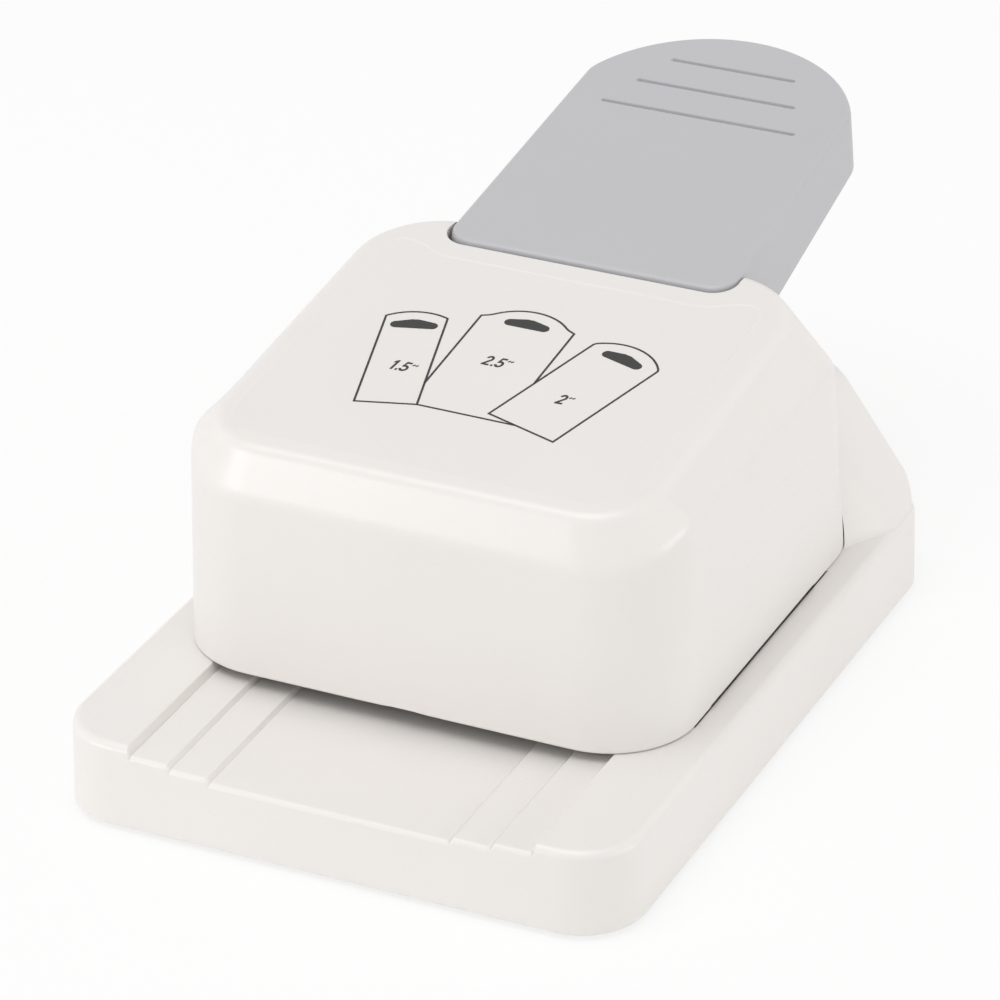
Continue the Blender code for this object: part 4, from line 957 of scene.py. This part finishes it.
def ribbon(points, width, low, high, closed=False):
    """A printed line along points, with square joints, as a thin solid."""
    points = [Vector(p) for p in points]
    count = len(points)
    bm = bmesh.new()
    rows = []
    for k, point in enumerate(points):
        ways = []
        if closed or k:
            ways.append((point - points[k - 1]).normalized())
        if closed or k < count - 1:
            ways.append((points[(k + 1) % count] - point).normalized())
        way = sum(ways, Vector((0.0, 0.0))).normalized()
        side = Vector((-way.y, way.x))
        share = max(side.dot(Vector((-ways[0].y, ways[0].x))), 0.35)
        reach = side * (width / 2 / share)
        edge = ((point - reach, low), (point + reach, low), (point + reach, high), (point - reach, high))
        rows.append([bm.verts.new((*place, z)) for place, z in edge])
    spans = list(zip(rows, rows[1:])) + ([(rows[-1], rows[0])] if closed else [])
    for first, second in spans:
        for k in range(4):
            nxt = (k + 1) % 4
            bm.faces.new((first[k], first[nxt], second[nxt], second[k]))
    if not closed:
        bm.faces.new(rows[0][::-1])
        bm.faces.new(rows[-1])
    bmesh.ops.recalc_face_normals(bm, faces=bm.faces)
    return bm


def meet(p, q, a, b):
    """Where the line through p and q crosses the line through a and b."""
    d, e = q - p, b - a
    t = ((a - p).x * e.y - (a - p).y * e.x) / (d.x * e.y - d.y * e.x)
    return p + d * t


def tag_top(half):
    """The top edge of a tag from right to left: an arc, and a small shoulder on each side of it where the tag
    is wider than the arc."""
    radius, reach = TAG_SCALE * mm(34.0), TAG_SCALE * mm(24.0)
    inner = min(half, reach)
    top = radius - math.sqrt(radius**2 - inner**2)
    turn = math.degrees(math.asin(inner / radius))
    points = arc(0.0, -radius, radius, 90 - turn, 90 + turn, 4 * CORNER_STEPS)
    run = half - reach
    if run > mm(1.0):
        corner = [(half, mm(0.95)), (half - mm(0.3), mm(0.8)), (reach + mm(0.6), mm(0.45))]
    else:
        corner = [(half, mm(0.5)), (half - run * 0.4, mm(0.25))]
    if run > 0:
        corner = [(x, -top - drop) for x, drop in corner]
        points = corner + points + mirrored(corner)
    return points


def tag_path(name):
    """A tag's outline on the head's top, from the right end of its top edge to its lower right corner."""
    _, place, turn, half, reach, _ = TAGS[name]
    half, reach = mm(half), mm(reach)
    spin = Matrix.Rotation(math.radians(turn), 2)
    local = tag_top(half) + [(-half, -reach), (half, -reach)]
    return [Vector([mm(part) for part in place]) + spin @ Vector(p) for p in local]


def tag_hole():
    """The hanging hole: a flat edge below, round ends, and a low peak above."""
    half, depth, end = (TAG_SCALE * mm(v) for v in (14.7, 9.8, 3.5))
    middle = -TAG_SCALE * mm(13.6)
    right = arc(half - end, middle - depth / 2 + end, end, -90, 70, 10)
    right.append((TAG_SCALE * mm(2.2), middle + depth / 2))
    return right + mirrored(right)


def on_top(place, turn):
    """Puts flat artwork on the sunk panel at a place, turned about the panel's normal."""
    x, y = (mm(part) for part in place)
    tilt = Matrix.Rotation(math.atan(TOP_SLOPE), 4, "X")
    spot = Matrix.Translation((x, y, top_height(y) - sizes().panel_depth))
    return spot @ tilt @ Matrix.Rotation(math.radians(turn), 4, "Z")


def numeral(digit):
    """The outline of a bold numeral or full stop, one unit high, and how far it carries the next one on."""
    if digit == "1":
        foot = [(0.17, 0.0), (0.35, 0.0), (0.35, 1.0)]
        return foot + [(0.22, 1.0), (0.02, 0.83), (0.02, 0.67), (0.17, 0.77)], 0.5
    if digit == "2":
        foot = [(0.25, 0.16), (0.58, 0.16), (0.58, 0.0), (0.0, 0.0), (0.0, 0.13)]
        return arc(0.29, 0.70, 0.30, 172, -38, 14) + foot + arc(0.29, 0.70, 0.13, -38, 172, 10), 0.68
    if digit == "5":
        bar = [(0.03, 0.46), (0.11, 1.0), (0.55, 1.0), (0.55, 0.84), (0.24, 0.84), (0.215, 0.645)]
        return bar + arc(0.275, 0.33, 0.33, 98, -165, 16) + arc(0.275, 0.33, 0.16, -165, 118, 12), 0.68
    return [(0.04, 0.0), (0.21, 0.0), (0.21, 0.17), (0.04, 0.17)], 0.29


def lettering(words, height, low, high):
    """Sloping numerals with an inch mark of two short strokes, centred, as thin solids."""
    narrow, slope, start, parts = 0.8, 0.12, 0.0, []
    low, high = low / height, high / height
    for word in words:
        loop, carry = numeral(word)
        parts.append(plate([[(start + x * narrow + y * slope, y) for x, y in loop]], low, high))
        start += carry * narrow
    for k in range(2):
        foot = start + 0.1 + 0.19 * k
        parts.append(ribbon([(foot, 0.72), (foot + 0.13, 0.86)], 0.1, low, high))
    middle = Matrix.Translation((-(start + 0.5) / 2, -0.5, 0.0))
    return [moved(part, Matrix.Scale(height, 4) @ middle) for part in parts]


class TAGPUNCH_OT_print(bpy.types.Operator):
    """Prints three plain tag outlines with their widths in inches on the head's top"""

    bl_idname = "tag_punch.print"
    bl_label = "Tag print"

    def execute(self, context):
        ink, line = sizes().ink, sizes().print_line
        low, high = -ink, ink
        narrow, wide, middle = (tag_path(name) for name in TAGS)
        # The wide tag lies behind the other two, so its sides end where they meet them.
        left_end = meet(wide[-2], wide[-3], narrow[-1], narrow[0])
        right_end = meet(wide[-1], wide[0], middle[-2], middle[-3])
        bottom_end = meet(wide[-2], wide[-1], middle[-2], middle[-1])
        lines = {
            "tag_print_narrow": [(narrow, True)],
            "tag_print_wide": [([right_end, *wide[:-2], left_end], False), ([narrow[-1], bottom_end], False)],
            "tag_print_middle": [(middle, True)],
        }
        rise = Matrix.Identity(4)
        rise[2][1], rise[2][3] = TOP_SLOPE, top_height(0.0) - sizes().panel_depth
        for name, (words, place, turn, _, _, spot) in TAGS.items():
            parts = [moved(ribbon(points, line, low, high, closed), rise) for points, closed in lines[name]]
            parts.append(moved(plate([tag_hole()], low, high), on_top(place, turn)))
            for part in lettering(words, sizes().print_height, low, high):
                parts.append(moved(part, on_top(spot, 0.0)))
            put_in_place(object_of(joined(parts), name), "ink", "base")
        return {"FINISHED"}


# Pieces under and inside the shells


def dress(node, material, width):
    """Keeps a CAD node's shape, eases its sharp edges and gives it a finish."""
    made = frame["nodes"][node]
    made.modifiers.new("weld", "WELD").merge_threshold = 0.002 * MM
    made.data.shade_smooth()
    edge = made.modifiers.new("edge", "BEVEL")
    edge.width, edge.segments = width, 2
    edge.limit_method, edge.angle_limit = "ANGLE", math.radians(30)
    edge.miter_outer = "MITER_ARC"
    weigh_normals(made, False)
    coat(made, material)


class TAGPUNCH_OT_underside(bpy.types.Operator):
    """Dresses the bottom cover and builds the four rubber feet"""

    bl_idname = "tag_punch.underside"
    bl_label = "Underside"

    def execute(self, context):
        dress("bottom_cover", "cover", mm(0.25))
        hollow, edge, lip = mm(0.12), mm(0.4), mm(0.1)
        for end in ENDS:
            low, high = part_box(f"foot_{end}")
            radius, tall = (high.x - low.x) / 2, high.z - low.z
            profile = [(radius * 0.62, hollow), (radius * 0.7, 0.0), (radius - edge, 0.0)]
            for turn in (0.5, 1.0, 1.5708):
                profile.append((radius - edge * (1 - math.sin(turn)), edge * (1 - math.cos(turn))))
            profile += [(radius, tall - lip), (radius - lip, tall)]
            rings = [level(circle(0.0, 0.0, reach, 48), height) for reach, height in profile]
            made = object_of(skin(rings), f"foot_{end}_fine")
            made.data.transform(Matrix.Translation(over(low, high, low.z)))
            crisp(made, 40.0)
            coat(made, "rubber")
            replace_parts(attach(made, "base"), f"foot_{end}")
        return {"FINISHED"}


class TAGPUNCH_OT_mechanism(bpy.types.Operator):
    """Gives the die, the punches, the frame, the axle and their pins their steel, zinc and nylon"""

    bl_idname = "tag_punch.mechanism"
    bl_label = "Punch mechanism"

    def execute(self, context):
        for node in ("die_plate", "guide_plate", "topper_punch", "hole_punch", "axle_pin", "press_pin"):
            dress(node, "steel", mm(0.08))
        dress("punch_carrier", "zinc", mm(0.12))
        for side in ("left", "right"):
            dress(f"guide_post_{side}", "steel", mm(0.08))
            dress(f"axle_clip_{side}", "steel", mm(0.08))
            dress(f"frame_side_{side}", "zinc", mm(0.12))
            dress(f"guide_spacer_{side}", "zinc", mm(0.12))
            dress(f"axle_bush_{side}", "nylon", mm(0.1))
        return {"FINISHED"}


def coil_curve(name, radius, wire, tall):
    """A spring's wire, wound five and a half times, with a closed turn at each end."""
    turns, points, closed = 5.5, 32, wire * 2.02
    coil = bpy.data.curves.new(name, "CURVE")
    coil.dimensions, coil.bevel_depth, coil.bevel_resolution, coil.use_fill_caps = "3D", wire, 3, True
    spline = coil.splines.new("POLY")
    spline.points.add(int(turns * points))
    for k, point in enumerate(spline.points):
        turn = k / points
        if turn < 1:
            rise = closed * turn * 0.5
        elif turn > turns - 1:
            rise = tall - closed * (turns - turn) * 0.5
        else:
            rise = closed * 0.5 + (tall - closed) * (turn - 1) / (turns - 2)
        angle = 2 * math.pi * turn
        point.co = (radius * math.cos(angle), radius * math.sin(angle), wire + rise, 1.0)
    return coil


class TAGPUNCH_OT_springs(bpy.types.Operator):
    """Winds the two return springs, with closed ends"""

    bl_idname = "tag_punch.springs"
    bl_label = "Return springs"

    def execute(self, context):
        wire = mm(0.45)
        for side in ("left", "right"):
            low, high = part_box(f"return_spring_{side}")
            length, radius = high.z - low.z, (high.x - low.x) / 2 - wire
            middle = Vector(over(low, high, low.z))
            name = f"return_spring_{side}_fine"
            mesh = mesh_of_curve(coil_curve(name, radius, wire, length - 2 * wire))
            mesh.transform(Matrix.Translation(middle))
            mesh.shade_smooth()
            made = object_with(mesh, name)
            coat(made, "wire")
            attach(made, "base")
            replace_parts(made, f"return_spring_{side}")
            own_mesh(made)
        return {"FINISHED"}


def screw_mesh(head_radius, head_thick, radius, length):
    """A pan head, and a threaded shank with a blunt point, standing on its head's seat."""
    sides, pitch, bite, blunt, point = 32, mm(0.8), mm(0.16), mm(0.35), mm(0.6)
    count = int(length / pitch * 8)
    rings = []
    for k in range(count, -1, -1):
        down = length * k / count
        start = min(1.0, down / pitch, (length - down) / pitch)
        narrow = blunt * max(0.0, 1 - (length - down) / point)
        ring = []
        for s in range(sides):
            turn = 2 * math.pi * s / sides
            wave = 0.5 + 0.5 * math.cos(2 * math.pi * down / pitch - turn)
            reach = radius - bite * start * wave - narrow
            ring.append(Vector((reach * math.cos(turn), reach * math.sin(turn), -down)))
        rings.append(ring)
    dome = ((1.0, mm(0.02)), (1.0, head_thick * 0.45), (0.93, head_thick * 0.75), (0.68, head_thick))
    return skin(rings + [level(circle(0.0, 0.0, head_radius * share, sides), z) for share, z in dome])


class TAGPUNCH_OT_screws(bpy.types.Operator):
    """Builds the screws: threaded shanks and pan heads with a cross recess"""

    bl_idname = "tag_punch.screws"
    bl_label = "Screws"

    def execute(self, context):
        head_radius, head_thick, radius = mm(1.8), mm(1.2), mm(1.2)
        arm, width = mm(1.05), mm(0.21)
        bodies = frame["record"]["behaviour"]["bodies"]
        for node in sorted(name for name in frame["nodes"] if "screw" in name):
            low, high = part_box(node)
            length = high.z - low.z - head_thick
            made = object_of(screw_mesh(head_radius, head_thick, radius, length), f"{node}_fine")
            for turn in (20.0, 110.0):
                bar = box((-arm, -width, head_thick - mm(0.6)), (arm, width, head_thick + mm(0.5)))
                carve(made, moved(bar, Matrix.Rotation(math.radians(turn), 4, "Z")))
            crisp(made, 35.0)
            # The screws of the cover and the head are driven from below, the others from above.
            seat, turn = high.z - head_thick, 0.0
            if node.startswith(("cover", "head")):
                seat, turn = low.z + head_thick, math.pi
            place = Matrix.Translation(over(low, high, seat))
            made.data.transform(place @ Matrix.Rotation(turn, 4, "X"))
            coat(made, "zinc")
            body = next(name for name, members in bodies.items() if node in members)
            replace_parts(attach(made, body), node)
        return {"FINISHED"}


# Stage


def lamp(name, place, target, wide, tall, power):
    """A softbox that faces a point."""
    data = bpy.data.lights.new(name, "AREA")
    data.shape, data.size, data.size_y, data.energy = "RECTANGLE", wide, tall, power
    made = bpy.data.objects.new(name, data)
    made.location = place
    made.rotation_euler = (Vector(target) - Vector(place)).to_track_quat("-Z", "Y").to_euler()
    bpy.context.scene.collection.objects.link(made)


def seen_rays(tree):
    """One for what the camera sees, straight, in a reflection or through glass, and zero for shed light."""
    ray = add(tree, "ShaderNodeLightPath").outputs
    seen = ray["Is Camera Ray"]
    for kind in ("Is Glossy Ray", "Is Transmission Ray"):
        seen = add(tree, "ShaderNodeMath", {0: seen, 1: ray[kind]}, operation="MAXIMUM").outputs[0]
    return seen


class TAGPUNCH_OT_stage(bpy.types.Operator):
    """Sets the white floor, the soft studio light, the world and the camera"""

    bl_idname = "tag_punch.stage"
    bl_label = "Stage"

    def execute(self, context):
        scene = context.scene
        floor = object_of(plate([rounded_box(3.0, -3.0, 3.0, 1.0, steps=24)], -mm(10), 0.0), "studio_floor")
        made, tree = blank("painted_floor")
        # Matt painted board: an even pale sheet that keeps a soft shadow and melts into the white behind it.
        board = {"Base Color": (*colours().floor, 1.0), "Roughness": 0.9, "Specular IOR Level": 0.1}
        paint = add(tree, "ShaderNodeBsdfPrincipled", board)
        glow = add(tree, "ShaderNodeEmission", {"Color": WHITE, "Strength": 1.0})
        share = add(tree, "ShaderNodeMath", {0: seen_rays(tree), 1: FLOOR_GLOW}, operation="MULTIPLY")
        mixed = {0: share.outputs[0], 1: paint.outputs[0], 2: glow.outputs[0]}
        both = add(tree, "ShaderNodeMixShader", mixed)
        add(tree, "ShaderNodeOutputMaterial", {"Surface": both.outputs[0]})
        floor.data.materials.append(made)

        # The world is white where it is seen, and sheds less light than that.
        world = bpy.data.worlds.new("studio_white")
        world.use_nodes = True
        tree = world.node_tree
        tree.nodes.clear()
        spread = {"From Min": 0.0, "From Max": 1.0, "To Min": SHED_LIGHT, "To Max": 1.0}
        strength = add(tree, "ShaderNodeMapRange", {"Value": seen_rays(tree), **spread}).outputs["Result"]
        sky = add(tree, "ShaderNodeBackground", {"Color": WHITE, "Strength": strength})
        add(tree, "ShaderNodeOutputWorld", {"Surface": sky.outputs[0]})
        scene.world = world

        lamp("low_softbox", (-0.37, -0.52, 0.056), (0.0, -0.05, 0.05), 0.36, 0.1, 0.72)
        lamp("top_softbox", (-0.12, -0.32, 1.25), MIDDLE, 0.9, 0.9, 6.0)
        lamp("right_softbox", (1.2, 0.1, 0.2), MIDDLE, 0.9, 0.36, 2.9)

        data = bpy.data.cameras.new("camera")
        data.lens, data.sensor_width = LENS, 36.0
        data.clip_start, data.clip_end = 0.05, 20.0
        camera = bpy.data.objects.new("camera", data)
        place = Matrix((CAMERA_RIGHT, CAMERA_UP, -CAMERA_AHEAD)).transposed().to_4x4()
        place.translation = CAMERA_PLACE
        camera.matrix_world = place
        scene.collection.objects.link(camera)
        scene.camera = camera
        scene.view_settings.view_transform = "Standard"
        return {"FINISHED"}


STEPS = (
    TAGPUNCH_OT_base,
    TAGPUNCH_OT_head,
    TAGPUNCH_OT_lever,
    TAGPUNCH_OT_print,
    TAGPUNCH_OT_underside,
    TAGPUNCH_OT_mechanism,
    TAGPUNCH_OT_springs,
    TAGPUNCH_OT_screws,
    TAGPUNCH_OT_stage,
)


class TAGPUNCH_PT_pieces(bpy.types.Panel):
    """Lists the pieces, and the sizes and colours that they use"""

    bl_idname = "TAGPUNCH_PT_pieces"
    bl_label = "Tag punch"
    bl_space_type = "VIEW_3D"
    bl_region_type = "UI"
    bl_category = "Tag punch"

    def draw(self, context):
        for group in (sizes(), colours()):
            column = self.layout.column(align=True)
            for name in group.bl_rna.properties.keys():
                if name not in {"rna_type", "name"}:
                    column.prop(group, name)
        column = self.layout.column(align=True)
        for step in STEPS:
            column.operator(step.bl_idname)


CLASSES = (TagPunchSizes, TagPunchColours, *STEPS, TAGPUNCH_PT_pieces)


def register():
    for made in CLASSES:
        bpy.utils.register_class(made)
    bpy.types.Scene.tag_punch_sizes = bpy.props.PointerProperty(type=TagPunchSizes)
    bpy.types.Scene.tag_punch_colours = bpy.props.PointerProperty(type=TagPunchColours)


def unregister():
    del bpy.types.Scene.tag_punch_colours
    del bpy.types.Scene.tag_punch_sizes
    for made in reversed(CLASSES):
        bpy.utils.unregister_class(made)


def main():
    register()
    bpy.ops.tag_punch.base()
    bpy.ops.tag_punch.head()
    bpy.ops.tag_punch.lever()
    bpy.ops.tag_punch.print()
    bpy.ops.tag_punch.underside()
    bpy.ops.tag_punch.mechanism()
    bpy.ops.tag_punch.springs()
    bpy.ops.tag_punch.screws()
    bpy.ops.tag_punch.stage()


if __name__ == "__main__":
    main()
